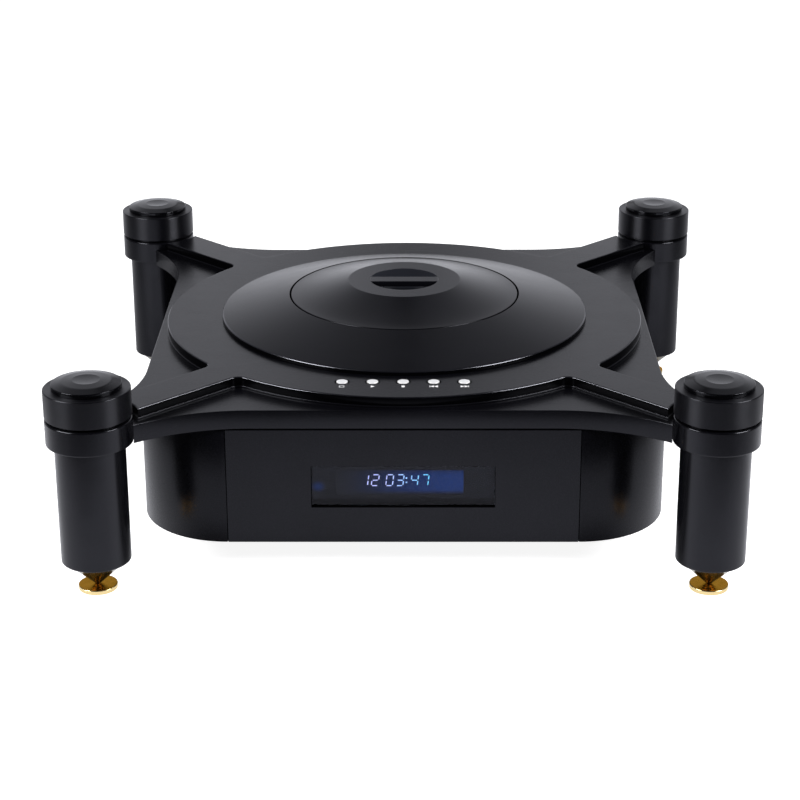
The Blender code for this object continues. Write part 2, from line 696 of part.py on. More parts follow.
def make_buttons():
    """Five buttons that press down on the switches of one board."""
    top = UPPER_DECK_TOP + BUTTON_PROUD
    profile = [
        (0, top),
        (BUTTON_RADIUS / 2, top - BUTTON_CROWN / 4),
        (BUTTON_RADIUS - BUTTON_CROWN, top - BUTTON_CROWN),
        (BUTTON_RADIUS, top - 2 * BUTTON_CROWN),
        (BUTTON_RADIUS, BUTTON_FLANGE_TOP),
        (BUTTON_FLANGE_RADIUS, BUTTON_FLANGE_TOP),
        (BUTTON_FLANGE_RADIUS, BUTTON_BOTTOM),
        (0, BUTTON_BOTTOM),
    ]
    names = ("open", "play", "stop", "previous", "next")
    for name, x in zip(names, BUTTON_XS):
        turned(f"button_{name}", profile, SMALL_SIDES, SILVER, (x, BUTTON_ROW_Y, 0))
    board_top = POCKET_FLOOR + SEAT_GAP + BUTTON_BOARD_THICKNESS
    half = BUTTON_BOARD_DEPTH / 2
    board = box(
        "button_board",
        (-BUTTON_BOARD_WIDTH / 2, BUTTON_ROW_Y - half, POCKET_FLOOR + SEAT_GAP),
        (BUTTON_BOARD_WIDTH / 2, BUTTON_ROW_Y + half, board_top),
        CIRCUIT_BOARD,
    )
    sink = BUTTON_BOARD_THICKNESS * SWITCH_SOCKET_SHARE
    side = SWITCH_WIDTH / 2
    for index, x in enumerate(BUTTON_XS):
        switch = box(
            f"switch_{index + 1}",
            (x - side, BUTTON_ROW_Y - side, board_top - sink),
            (x + side, BUTTON_ROW_Y + side, SWITCH_TOP),
            None,
            CUTTERS,
        )
        join(board, switch)


def make_lid_ring():
    """The fixed shallow cone on the deck, with the step that the lid sits on."""
    opening = LID_RADIUS + LID_SEAM
    step = SEAM_Z - LID_EDGE_HEIGHT - SEAT_GAP
    profile = [
        (opening, SEAM_Z),
        (RING_RADIUS, RING_Z + RING_RIM_HEIGHT),
        (RING_RADIUS, RING_Z),
        (RING_BORE_RADIUS, RING_Z),
        (RING_BORE_RADIUS, step),
        (opening, step),
    ]
    turned("lid_ring", profile, RING_SIDES, BLACK_METAL, closed=True)


def lid_slope(drop):
    """Points down the lid's flared cone, from its flat top to its edge, some way below its surface."""
    run = LID_RADIUS - LID_FLAT_RADIUS
    points = []
    for i in range(FLARE_STEPS + 1):
        share = i / FLARE_STEPS
        fall = LID_RISE * (1 - (1 - share) ** LID_FLARE)
        points.append((LID_FLAT_RADIUS + run * share, LID_TOP - fall - drop))
    return points


def make_lid():
    """The lift-off lid with its finger recess, the bar across it and the hole for the clamp's stem."""
    floor = LID_TOP - RECESS_DEPTH
    bore = STEM_THREAD_RADIUS + SEAT_GAP
    bore_top = LID_UNDERSIDE + STEM_THREAD_LENGTH + SEAT_GAP
    cup = RECESS_RADIUS + LID_WALL
    inside = [(radius - LID_WALL, height) for radius, height in reversed(lid_slope(LID_WALL))]
    edge_bottom = SEAM_Z - LID_EDGE_HEIGHT
    inner_edge = RING_BORE_RADIUS - LID_WALL
    profile = [(0, floor), (RECESS_RADIUS, floor), (RECESS_RADIUS, LID_TOP)]
    profile += lid_slope(0)
    profile += [(LID_RADIUS, edge_bottom), (inner_edge, edge_bottom)]
    profile += [point for point in inside if cup < point[0] < inner_edge]
    profile += [
        (cup, LID_TOP - LID_WALL),
        (cup, LID_UNDERSIDE),
        (bore, LID_UNDERSIDE),
        (bore, bore_top),
        (0, bore_top),
    ]
    lid = turned("lid", profile, RING_SIDES, BLACK_METAL)
    reach = RECESS_RADIUS + LID_WALL / 2
    bar = box(
        "lid_bar",
        (-reach, -LID_BAR_WIDTH / 2, LID_TOP - LID_BAR_THICKNESS),
        (reach, LID_BAR_WIDTH / 2, LID_TOP),
        None,
        CUTTERS,
    )
    join(lid, bar)


def make_clamp():
    """The puck that hangs loosely on a shoulder screw under the lid and sits on the turntable."""
    shoulder = LID_UNDERSIDE - SEAT_GAP
    head_top = shoulder - STEM_LENGTH
    head_bottom = head_top - STEM_HEAD_HEIGHT
    stem = [
        (0, LID_UNDERSIDE + STEM_THREAD_LENGTH),
        (STEM_THREAD_RADIUS, LID_UNDERSIDE + STEM_THREAD_LENGTH),
        (STEM_THREAD_RADIUS, shoulder),
        (STEM_RADIUS, shoulder),
        (STEM_RADIUS, head_top),
        (STEM_HEAD_RADIUS, head_top),
        (STEM_HEAD_RADIUS, head_bottom),
        (0, head_bottom),
    ]
    turned("clamp_stem", stem, SMALL_SIDES, STEEL)
    bottom = PLATTER_TOP + SEAT_GAP
    top = shoulder - PUCK_PLAY
    neck = STEM_RADIUS + RUNNING_GAP
    puck = [
        (neck, top),
        (PUCK_RADIUS - PUCK_EDGE, top),
        (PUCK_RADIUS, top - PUCK_EDGE),
        (PUCK_RADIUS, bottom),
        (PUCK_BORE_RADIUS, bottom),
        (PUCK_BORE_RADIUS, top - PUCK_WEB),
        (neck, top - PUCK_WEB),
    ]
    turned("clamp_puck", puck, 2 * SMALL_SIDES, BLACK_PLASTIC, closed=True)


def make_disc_well():
    """The shallow dish under the lid, hung by its flange on the upper deck."""
    rim = RING_Z + WELL_FLANGE_THICKNESS
    outside = WELL_RADIUS + WELL_WALL
    profile = [
        (WELL_RADIUS, rim),
        (WELL_RADIUS + WELL_FLANGE_WIDTH, rim),
        (WELL_RADIUS + WELL_FLANGE_WIDTH, RING_Z),
        (outside, RING_Z),
        (outside, WELL_UNDERSIDE),
        (SHAFT_HOLE_RADIUS, WELL_UNDERSIDE),
        (SHAFT_HOLE_RADIUS, WELL_FLOOR_TOP),
        (WELL_RADIUS, WELL_FLOOR_TOP),
    ]
    well = turned("disc_well", profile, RING_SIDES, BLACK_PLASTIC, closed=True)
    cut(well, turret_slot("well_slot_cutter", WELL_UNDERSIDE - OVERRUN, WELL_FLOOR_TOP + OVERRUN))


def turret_slot(name, low, high):
    """The space that the pickup's turret runs through."""
    half = TURRET_WIDTH / 2 + TURRET_GAP
    end = LENS_START + PICKUP_TRAVEL + half
    return box(name, (CARRIAGE_START, -half, low), (end, half, high), None, CUTTERS)


def make_turntable():
    """The hub that the disc sits on, with the motor's shaft."""
    nose = PLATTER_TOP + NOSE_HEIGHT
    under = PLATTER_TOP - PLATTER_THICKNESS
    profile = [
        (0, nose),
        (NOSE_RADIUS / 2, nose),
        (NOSE_RADIUS, PLATTER_TOP + NOSE_HEIGHT / 2),
        (NOSE_RADIUS, PLATTER_TOP),
        (PLATTER_RADIUS, PLATTER_TOP),
        (PLATTER_RADIUS, under),
        (SHAFT_RADIUS, under),
        (SHAFT_RADIUS, SHAFT_END + SEAT_GAP),
        (0, SHAFT_END + SEAT_GAP),
    ]
    turned("turntable", profile, 2 * SMALL_SIDES, BLACK_PLASTIC)


def make_spindle_motor():
    """The can under the drive base, with the bore that holds the turntable's shaft."""
    bore = SHAFT_RADIUS + SEAT_GAP
    bottom = MOTOR_TOP - MOTOR_HEIGHT
    profile = [
        (0, SHAFT_END),
        (bore, SHAFT_END),
        (bore, MOTOR_TOP),
        (MOTOR_RADIUS - MOTOR_EDGE, MOTOR_TOP),
        (MOTOR_RADIUS, MOTOR_TOP - MOTOR_EDGE),
        (MOTOR_RADIUS, bottom),
        (0, bottom),
    ]
    turned("spindle_motor", profile, PILLAR_SIDES, STEEL)


def lug_hole(name, y, radius):
    """A bore along X through both lugs of the drive base."""
    start = (INNER_LUG_X - OVERRUN, y, ROD_Z)
    end = (DRIVE_BASE_FRONT + OVERRUN, y, ROD_Z)
    return rod(name, start, end, radius + SEAT_GAP, SMALL_SIDES, None, CUTTERS)


def make_drive_base():
    """The plate under the disc well, with posts up to it and two lugs that hold the rods and the screw."""
    half = DRIVE_BASE_WIDTH / 2
    base = box(
        "drive_base",
        (-DRIVE_BASE_BACK, -half, DRIVE_BASE_Z),
        (DRIVE_BASE_FRONT, half, DRIVE_BASE_TOP),
        STEEL,
    )
    middle = (DRIVE_BASE_Z + DRIVE_BASE_TOP) / 2
    bottom = DRIVE_BASE_Z - LUG_DROP
    parts = []
    for name, x in (("inner_lug", INNER_LUG_X), ("outer_lug", OUTER_LUG_X)):
        low = (x, -LUG_WIDTH / 2, bottom)
        high = (x + LUG_THICKNESS, LUG_WIDTH / 2, middle)
        parts.append(box(name, low, high, None, CUTTERS))
    post_y = half - DRIVE_POST_INSET
    post_xs = (DRIVE_POST_INSET - DRIVE_BASE_BACK, WELL_RADIUS - 2 * DRIVE_POST_INSET)
    for row, x in enumerate(post_xs):
        for side in (-1, 1):
            low = (x, side * post_y, middle)
            high = (x, side * post_y, WELL_UNDERSIDE - SEAT_GAP)
            name = f"post_{row}_{side + 1}"
            parts.append(rod(name, low, high, DRIVE_POST_RADIUS, SMALL_SIDES, None, CUTTERS))
    join(base, *parts)
    shaft_low = (0, 0, DRIVE_BASE_Z - OVERRUN)
    shaft_high = (0, 0, DRIVE_BASE_TOP + OVERRUN)
    cut(
        base,
        rod("shaft_cutter", shaft_low, shaft_high, SHAFT_HOLE_RADIUS, SMALL_SIDES, None, CUTTERS),
        turret_slot("base_slot_cutter", DRIVE_BASE_Z - OVERRUN, DRIVE_BASE_TOP + OVERRUN),
        lug_hole("rod_hole_front", -ROD_SPACING / 2, ROD_RADIUS),
        lug_hole("rod_hole_rear", ROD_SPACING / 2, ROD_RADIUS),
        lug_hole("screw_hole", 0, SCREW_RADIUS),
    )


def make_guide_rods():
    """Two rods that the pickup slides on."""
    for name, side in (("front", -1), ("rear", 1)):
        y = side * ROD_SPACING / 2
        start = (INNER_LUG_X, y, ROD_Z)
        end = (DRIVE_BASE_FRONT, y, ROD_Z)
        rod(f"guide_rod_{name}", start, end, ROD_RADIUS, SMALL_SIDES, STEEL)


def make_pickup():
    """The carriage that slides under the disc, with the turret that carries the lens."""
    half = CARRIAGE_WIDTH / 2
    carriage = box(
        "pickup_carriage",
        (CARRIAGE_START, -half, CARRIAGE_TOP - CARRIAGE_HEIGHT),
        (CARRIAGE_START + CARRIAGE_LENGTH, half, CARRIAGE_TOP),
        BLACK_PLASTIC,
    )
    turret_top = PLATTER_TOP - TURRET_DROP
    side = TURRET_WIDTH / 2
    turret = box(
        "turret",
        (CARRIAGE_START + TURRET_SETBACK, -side, (ROD_Z + CARRIAGE_TOP + SCREW_RADIUS) / 2),
        (LENS_START + side, side, turret_top),
        None,
        CUTTERS,
    )
    lens = rod(
        "lens",
        (LENS_START, 0, turret_top - LENS_RADIUS),
        (LENS_START, 0, PLATTER_TOP - LENS_DROP),
        LENS_RADIUS,
        SMALL_SIDES,
        None,
        CUTTERS,
    )
    join(carriage, turret, lens)
    for name, y, radius in (
        ("front", -ROD_SPACING / 2, ROD_RADIUS),
        ("rear", ROD_SPACING / 2, ROD_RADIUS),
        ("middle", 0, SCREW_RADIUS),
    ):
        start = (CARRIAGE_START - OVERRUN, y, ROD_Z)
        end = (CARRIAGE_START + CARRIAGE_LENGTH + OVERRUN, y, ROD_Z)
        hole = rod(f"carriage_bore_{name}", start, end, radius + SEAT_GAP, SMALL_SIDES, None, CUTTERS)
        cut(carriage, hole)


def along_x(obj, start_x, level):
    """Lays a turned piece along +X, its base at start_x."""
    obj.rotation_euler = (0, math.pi / 2, 0)
    obj.location = (start_x, 0, level)


def make_lead_screw():
    """The screw that drives the pickup, and the small motor that turns it."""
    length = DRIVE_BASE_FRONT - INNER_LUG_X
    shaft_end = length + SEAT_GAP + SCREW_SHAFT_LENGTH
    screw = [
        (0, shaft_end),
        (SCREW_SHAFT_RADIUS, shaft_end),
        (SCREW_SHAFT_RADIUS, length),
        (SCREW_RADIUS, length),
        (SCREW_RADIUS, 0),
        (0, 0),
    ]
    along_x(turned("lead_screw", screw, SMALL_SIDES, STEEL), INNER_LUG_X, ROD_Z)
    bore = SCREW_SHAFT_RADIUS + SEAT_GAP
    bore_depth = SCREW_SHAFT_LENGTH + SEAT_GAP
    motor = [
        (0, SLED_MOTOR_LENGTH),
        (SLED_MOTOR_RADIUS, SLED_MOTOR_LENGTH),
        (SLED_MOTOR_RADIUS, 0),
        (bore, 0),
        (bore, bore_depth),
        (0, bore_depth),
    ]
    along_x(turned("sled_motor", motor, PILLAR_SIDES, STEEL), DRIVE_BASE_FRONT + SEAT_GAP, ROD_Z)


def shell_outline():
    """The right side shell in plan, from the front seam round to the rear seam and back inside."""
    seam = CORNER_X
    wall_radius = BODY_CORNER_RADIUS - SHELL_WALL
    tab_end = seam - TAB_WIDTH
    tab_back = TAB_FACE_Y - TAB_THICKNESS
    meet = math.asin((tab_back - CORNER_Y) / wall_radius)
    front_centre = (CORNER_X, -CORNER_Y)
    rear_centre = (CORNER_X, CORNER_Y)
    outside = arc(front_centre, BODY_CORNER_RADIUS, -math.pi / 2, 0, CORNER_STEPS)
    outside += arc(rear_centre, BODY_CORNER_RADIUS, 0, math.pi / 2, CORNER_STEPS)
    rear_tab = [(seam, TAB_FACE_Y), (tab_end, TAB_FACE_Y), (tab_end, tab_back)]
    inside = arc(rear_centre, wall_radius, meet, 0, CORNER_STEPS)
    inside += arc(front_centre, wall_radius, 0, -meet, CORNER_STEPS)
    front_tab = [(x, -y) for x, y in reversed(rear_tab)]
    return outside + rear_tab + inside + front_tab


def make_side_shells():
    """Two bent side walls with rounded corners, tabs behind the panels and screw posts inside."""
    outline = shell_outline()
    post_reach = BODY_CORNER_RADIUS - SHELL_WALL - SCREW_POST_SINK
    post_x = CORNER_X + post_reach * math.sin(math.pi / 4)
    post_y = CORNER_Y + post_reach * math.sin(math.pi / 4)
    for name, side in (("left", -1), ("right", 1)):
        points = mirrored(outline) if side < 0 else outline
        shell = outline_solid(f"side_shell_{name}", points, BODY_Z, BODY_TOP, BLACK_METAL)
        for end, y in (("front", -post_y), ("rear", post_y)):
            low = (side * post_x, y, BODY_Z)
            high = (side * post_x, y, BODY_TOP)
            post = rod(f"post_{name}_{end}", low, high, SCREW_POST_RADIUS, SMALL_SIDES, None, CUTTERS)
            join(shell, post)


def make_front_panel():
    """The flat front with its window opening, the glass behind it and the display module."""
    half = CORNER_X - PANEL_SEAM
    panel = box(
        "front_panel", (-half, -DECK_HALF, BODY_Z), (half, -PANEL_BACK_Y, BODY_TOP), BLACK_METAL
    )
    width = WINDOW_WIDTH / 2
    height = WINDOW_HEIGHT / 2
    window = box(
        "window_cutter",
        (-width, -DECK_HALF - OVERRUN, WINDOW_Z - height),
        (width, -PANEL_BACK_Y + OVERRUN, WINDOW_Z + height),
        None,
        CUTTERS,
    )
    cut(panel, window)
    pane = box(
        "display_window",
        (-width - GLASS_MARGIN, GLASS_FACE_Y, WINDOW_Z - height - GLASS_MARGIN),
        (width + GLASS_MARGIN, GLASS_FACE_Y + GLASS_THICKNESS, WINDOW_Z + height + GLASS_MARGIN),
        SMOKED_GLASS,
    )
    raised = box(
        "raised_pane",
        (-width + SEAT_GAP, -DECK_HALF + GLASS_RECESS, WINDOW_Z - height + SEAT_GAP),
        (width - SEAT_GAP, GLASS_FACE_Y + GLASS_THICKNESS / 2, WINDOW_Z + height - SEAT_GAP),
        None,
        CUTTERS,
    )
    join(pane, raised)
    make_display(DISPLAY_FACE_Y)


def make_display(face_y):
    """The display's glass block on its board, behind the window."""
    half = DISPLAY_WIDTH / 2
    height = DISPLAY_HEIGHT / 2
    back_y = face_y + DISPLAY_DEPTH
    module = box(
        "display_module",
        (-half, face_y, WINDOW_Z - height),
        (half, back_y, WINDOW_Z + height),
        SMOKED_GLASS,
    )
    half += DISPLAY_BOARD_MARGIN
    height += DISPLAY_BOARD_MARGIN / 2
    board = box(
        "display_board",
        (-half, back_y - DISPLAY_BOARD_THICKNESS / 2, WINDOW_Z - height),
        (half, back_y + DISPLAY_BOARD_THICKNESS / 2, WINDOW_Z + height),
        None,
        CUTTERS,
    )
    join(module, board)


def make_bottom_plate():
    """The plate under the drum, with the stand-offs of the main board pressed into it."""
    radius = BODY_CORNER_RADIUS - BOTTOM_INSET
    front = arc((CORNER_X, -CORNER_Y), radius, -math.pi / 2, 0, CORNER_STEPS)
    rear = arc((CORNER_X, CORNER_Y), radius, 0, math.pi / 2, CORNER_STEPS)
    outline = front + rear + mirrored(front + rear)
    plate = outline_solid("bottom_plate", outline, BOTTOM_Z, BOTTOM_TOP, BLACK_METAL)
    x_reach = BOARD_LENGTH / 2 - STANDOFF_INSET
    y_reach = BOARD_WIDTH / 2 - STANDOFF_INSET
    for column in (-1, 1):
        for row in (-1, 1):
            x = BOARD_CENTRE_X + column * x_reach
            y = BOARD_CENTRE_Y + row * y_reach
            low = (x, y, (BOTTOM_Z + BOTTOM_TOP) / 2)
            high = (x, y, BOTTOM_TOP + STANDOFF_HEIGHT)
            name = f"standoff_{column + 1}_{row + 1}"
            join(plate, rod(name, low, high, STANDOFF_RADIUS, SMALL_SIDES, None, CUTTERS))


def make_main_board():
    """The main circuit board with its heatsink, chip and capacitors."""
    half_length = BOARD_LENGTH / 2
    half_width = BOARD_WIDTH / 2
    board = box(
        "main_board",
        (BOARD_CENTRE_X - half_length, BOARD_CENTRE_Y - half_width, BOARD_Z),
        (BOARD_CENTRE_X + half_length, BOARD_CENTRE_Y + half_width, BOARD_Z + BOARD_THICKNESS),
        CIRCUIT_BOARD,
    )
    middle = BOARD_Z + BOARD_THICKNESS / 2
    for name, size, shift in (
        ("heatsink", HEATSINK_SIZE, Vector((-half_length / 2, half_width / 2, 0))),
        ("chip", CHIP_SIZE, Vector((half_length / 3, 0, 0))),
    ):
        centre = Vector((BOARD_CENTRE_X, BOARD_CENTRE_Y, middle)) + shift
        low = centre - Vector((size[0] / 2, size[1] / 2, 0))
        high = centre + Vector((size[0] / 2, size[1] / 2, size[2]))
        join(board, box(name, low, high, None, CUTTERS))
    for index in range(CAPACITOR_COUNT):
        x = BOARD_CENTRE_X - half_length / 2 + index * CAPACITOR_SPACING_SHARE * CAPACITOR_RADIUS
        y = BOARD_CENTRE_Y - half_width / 2
        high = (x, y, middle + CAPACITOR_HEIGHT)
        name = f"capacitor_{index + 1}"
        join(board, rod(name, (x, y, middle), high, CAPACITOR_RADIUS, SMALL_SIDES, None, CUTTERS))


def make_transformer():
    """The ring shaped mains transformer on the bottom plate."""
    low = BOTTOM_TOP + SEAT_GAP
    high = low + TRANSFORMER_HEIGHT
    outer = TRANSFORMER_RADIUS
    profile = [
        (TRANSFORMER_BORE + TRANSFORMER_EDGE / 2, high),
        (outer - TRANSFORMER_EDGE, high),
        (outer, high - TRANSFORMER_EDGE),
        (outer, low + TRANSFORMER_EDGE),
        (outer - TRANSFORMER_EDGE, low),
        (TRANSFORMER_BORE + TRANSFORMER_EDGE / 2, low),
        (TRANSFORMER_BORE, low + TRANSFORMER_EDGE / 2),
        (TRANSFORMER_BORE, high - TRANSFORMER_EDGE / 2),
    ]
    turned("transformer", profile, PILLAR_SIDES, WRAPPING, (TRANSFORMER_X, TRANSFORMER_Y, 0), closed=True)


def rear_box(name, centre_x, width, height, front_y, back_y, material=None, collection=CUTTERS):
    """A block centred on the sockets' level, between two depths."""
    return box(
        name,
        (centre_x - width / 2, front_y, SOCKET_Z - height / 2),
        (centre_x + width / 2, back_y, SOCKET_Z + height / 2),
        material,
        collection,
    )


def jack_xs():
    """Where the output jacks stand along the rear panel."""
    return [JACK_X + JACK_PITCH * (i - (JACK_COUNT - 1) / 2) for i in range(JACK_COUNT)]


def housing_size():
    """Width and height of the switch housing's body."""
    width = ROCKER_WIDTH + 2 * RUNNING_GAP + 2 * HOUSING_WALL
    height = 2 * ROCKER_CAVITY_RADIUS + 2 * HOUSING_WALL
    return width, height


def make_rear_panel():
    """The flat back with the cut-outs for the inlet, the switch and the jacks."""
    half = CORNER_X - PANEL_SEAM
    panel = box("rear_panel", (-half, PANEL_BACK_Y, BODY_Z), (half, DECK_HALF, BODY_TOP), BLACK_METAL)
    front_y = PANEL_BACK_Y - OVERRUN
    back_y = DECK_HALF + OVERRUN
    slack = 2 * SEAT_GAP
    width, height = housing_size()
    cut(
        panel,
        rear_box("inlet_hole", INLET_X, INLET_SIZE[0] + slack, INLET_SIZE[1] + slack, front_y, back_y),
        rear_box("switch_hole", SWITCH_X, width + slack, height + slack, front_y, back_y),
    )
    for index, x in enumerate(jack_xs()):
        start = (x, front_y, SOCKET_Z)
        end = (x, back_y, SOCKET_Z)
        name = f"jack_hole_{index + 1}"
        cut(panel, rod(name, start, end, JACK_RADIUS + SEAT_GAP, SMALL_SIDES, None, CUTTERS))


def make_mains_inlet():
    """The appliance inlet, its cavity open to the rear."""
    face_y = DECK_HALF + SEAT_GAP
    outer_y = face_y + INLET_FLANGE_THICKNESS
    inlet = rear_box(
        "mains_inlet",
        INLET_X,
        INLET_SIZE[0] + 2 * INLET_FLANGE,
        INLET_SIZE[1] + 2 * INLET_FLANGE,
        face_y,
        outer_y,
        BLACK_PLASTIC,
        PIECES,
    )
    inner_y = outer_y - INLET_DEPTH
    middle_y = face_y + INLET_FLANGE_THICKNESS / 2
    join(inlet, rear_box("inlet_body", INLET_X, *INLET_SIZE, inner_y, middle_y))
    cavity = [size - 2 * INLET_CAVITY_INSET for size in INLET_SIZE]
    cavity_y = outer_y - INLET_CAVITY_DEPTH
    cut(inlet, rear_box("inlet_cavity", INLET_X, *cavity, cavity_y, outer_y + OVERRUN))


def make_power_switch():
    """The switch housing with its rocker, which turns about X."""
    face_y = DECK_HALF + SEAT_GAP
    outer_y = face_y + HOUSING_FLANGE_THICKNESS
    width, height = housing_size()
    housing = rear_box(
        "switch_housing",
        SWITCH_X,
        width + 2 * HOUSING_FLANGE,
        height + 2 * HOUSING_FLANGE,
        face_y,
        outer_y,
        BLACK_PLASTIC,
        PIECES,
    )
    inner_y = outer_y - HOUSING_DEPTH
    middle_y = face_y + HOUSING_FLANGE_THICKNESS / 2
    join(housing, rear_box("housing_body", SWITCH_X, width, height, inner_y, middle_y))
    cavity_width = ROCKER_WIDTH + 2 * RUNNING_GAP
    cavity_y = ROCKER_PIVOT_Y - ROCKER_RADIUS - RUNNING_GAP
    cavity = rear_box(
        "housing_cavity", SWITCH_X, cavity_width, 2 * ROCKER_CAVITY_RADIUS, cavity_y, outer_y + OVERRUN
    )
    cut(housing, cavity)
    back = arc((0, 0), ROCKER_RADIUS, math.pi, 2 * math.pi, CORNER_STEPS)
    tip_x = ROCKER_CREST * math.cos(ROCKER_CREST_ANGLE)
    tip_y = ROCKER_CREST * math.sin(ROCKER_CREST_ANGLE)
    outline = back + [(tip_x, tip_y), (0, ROCKER_DISH), (-tip_x, tip_y)]
    outline = rotated(outline, ROCKER_TILT)
    half = ROCKER_WIDTH / 2
    rocker = outline_solid("power_rocker", outline, -half, half, BLACK_PLASTIC)
    lie = Matrix(((0, 0, 1), (0, 1, 0), (-1, 0, 0))).to_4x4()
    rocker.matrix_world = Matrix.Translation((SWITCH_X, ROCKER_PIVOT_Y, SOCKET_Z)) @ lie


def make_output_jacks():
    """Three output jacks on one block behind the rear panel."""
    xs = jack_xs()
    width = xs[-1] - xs[0] + 2 * JACK_PLATE_MARGIN
    front_y = JACK_PLATE_Y - JACK_PLATE_THICKNESS / 2
    back_y = JACK_PLATE_Y + JACK_PLATE_THICKNESS / 2
    block = rear_box(
        "output_jacks", JACK_X, width, JACK_PLATE_HEIGHT, front_y, back_y, BLACK_PLASTIC, PIECES
    )
    end_y = DECK_HALF + JACK_LENGTH
    nut_y = DECK_HALF + SEAT_GAP
    for index, x in enumerate(xs):
        start = (x, JACK_PLATE_Y, SOCKET_Z)
        end = (x, end_y, SOCKET_Z)
        join(block, rod(f"jack_{index + 1}", start, end, JACK_RADIUS, SMALL_SIDES, None, CUTTERS))
        start = (x, nut_y, SOCKET_Z)
        end = (x, nut_y + JACK_NUT_THICKNESS, SOCKET_Z)
        join(block, rod(f"jack_nut_{index + 1}", start, end, JACK_NUT_RADIUS, NUT_SIDES, None, CUTTERS))
        start = (x, end_y - JACK_BORE_DEPTH, SOCKET_Z)
        end = (x, end_y + OVERRUN, SOCKET_Z)
        bore = rod(f"jack_bore_{index + 1}", start, end, JACK_BORE_RADIUS, SMALL_SIDES, None, CUTTERS)
        cut(block, bore)


def shade(obj):
    """Smooth shading with sharp edges kept, on the mesh with its modifiers applied."""
    graph = bpy.context.evaluated_depsgraph_get()
    mesh = bpy.data.meshes.new_from_object(obj.evaluated_get(graph))
    obj.modifiers.clear()
    obj.data = mesh
    mesh.shade_smooth()
    mesh.set_sharp_from_angle(angle=SMOOTH_ANGLE)


def main():
    make_pillars()
    make_lower_deck()
    make_upper_deck()
    make_buttons()
    make_lid_ring()
    make_lid()
    make_clamp()
    make_disc_well()
    make_turntable()
    make_spindle_motor()
    make_drive_base()
    make_guide_rods()
    make_pickup()
    make_lead_screw()
    make_side_shells()
    make_front_panel()
    make_bottom_plate()
    make_main_board()
    make_transformer()
    make_rear_panel()
    make_mains_inlet()
    make_power_switch()
    make_output_jacks()
    bpy.context.view_layer.update()
    for obj in list(PIECES.objects):
        shade(obj)


main()
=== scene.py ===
"""A top loading disc player on four pillars: its fine surfaces, finishes, studio and camera."""

import math

import bmesh
import bpy
from mathutils import Matrix, Vector


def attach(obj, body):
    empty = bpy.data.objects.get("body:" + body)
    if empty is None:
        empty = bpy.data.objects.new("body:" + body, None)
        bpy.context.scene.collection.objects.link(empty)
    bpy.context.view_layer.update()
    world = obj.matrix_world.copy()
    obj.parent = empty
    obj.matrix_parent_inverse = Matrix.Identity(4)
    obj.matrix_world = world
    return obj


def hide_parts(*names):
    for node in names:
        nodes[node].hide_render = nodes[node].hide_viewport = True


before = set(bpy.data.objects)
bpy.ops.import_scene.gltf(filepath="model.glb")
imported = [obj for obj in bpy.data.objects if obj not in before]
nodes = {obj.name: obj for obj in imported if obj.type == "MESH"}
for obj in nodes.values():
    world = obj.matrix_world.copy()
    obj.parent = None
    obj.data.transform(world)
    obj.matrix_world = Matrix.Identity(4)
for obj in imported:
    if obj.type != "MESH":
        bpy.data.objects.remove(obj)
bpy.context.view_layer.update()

# Meshing
MERGE = 0.000002
SHARP = math.radians(24)
EASE_STEPS = 5
HOLD_ROOM = 3
HOLD_SHARE = 1.6
RIM_STEPS = 4
FINE_RIM_STEPS = 2
RIM_HOLD_SHARE = 0.5
GAP = 0.0003
NEAR = 0.0001

# How many sides round shapes have
RING_SIDES = 192
BORE_SIDES = 128
PILLAR_SIDES = 96
HUB_SIDES = 72
MOTOR_SIDES = 64
SMALL_SIDES = 48
JACK_SIDES = 40
PIN_SIDES = 32
STUD_SIDES = 24
HOLE_SIDES = 20
HEX_SIDES = 6

# How many steps arcs have
SWEEP_STEPS = 40
FILLET_STEPS = 14
ARM_END_STEPS = 20
UPPER_RIM_STEPS = 72
SLOPE_STEPS = 14
BAR_END_STEPS = 16
SHELL_STEPS = 28
BOTTOM_STEPS = 20
VENT_STEPS = 6
ROCKER_STEPS = 24
DIP_STEPS = 12

# How far edges are eased, from a hair line to a full round
HAIR = 0.0001
FINE = 0.00015
KEEN = 0.0002
CRISP = 0.0003
BROKEN = 0.0004
SOFT = 0.0005
EASED = 0.0006
ROUND = 0.0008
FULL = 0.0012

# How much a face's normal points along Z where its finish changes
FLAT = 0.999
NEARLY_FLAT = 0.93
SLOPED = 0.8
STEEP = 0.4
UPRIGHT = 0.3

# Pillars: places and levels from the floor up
PILLAR = 0.2
CORNERS = {"front_left": (-1, -1), "front_right": (1, -1), "rear_left": (-1, 1), "rear_right": (1, 1)}
SHOE_RADIUS = 0.0128
SHOE_TOP = 0.0030
DIMPLE_RADIUS = 0.0022
DIMPLE_DEPTH = 0.0012
SPIKE_TIP = 0.0021
SPIKE_TIP_RADIUS = 0.0006
SPIKE_RIM = 0.0004
SPIKE_RADIUS = 0.0196
SPIKE_STUD_RADIUS = 0.0040
SPIKE_STUD_LENGTH = 0.0120
LEG_LOW = 0.0208
LEG_HIGH = 0.1031
LEG_RADIUS = 0.0228
LEG_FOOT_EDGE = 0.0009
SPIGOT_RADIUS = 0.0090
SPIGOT_LENGTH = 0.0065
COLLAR_LOW = 0.1034
COLLAR_HIGH = 0.1200
COLLAR_RADIUS = 0.0280
COLLAR_PLAY = GAP / 3
ARM_STUD_RADIUS = 0.0030
ARM_STUD_START = 0.0123
ARM_STUD_LENGTH = 0.0270
GROOVE_RADIUS = 0.0250
CAP_LOW = 0.1220
CAP_HIGH = 0.1403
CAP_DISC_LOW = 0.1406
CAP_DISC_RIM = 0.1436
CAP_DISC_HIGH = 0.1457
CAP_DISC_RADIUS = 0.0225
CROWN_RADIUS = 0.0159
CROWN_RISE = 0.0015
CROWN_EASE = 0.0120
DISH_RADIUS = 0.0090
DISH_DEPTH = 0.0008
PEG_RADIUS = 0.0040
PEG_SINK = 0.0027

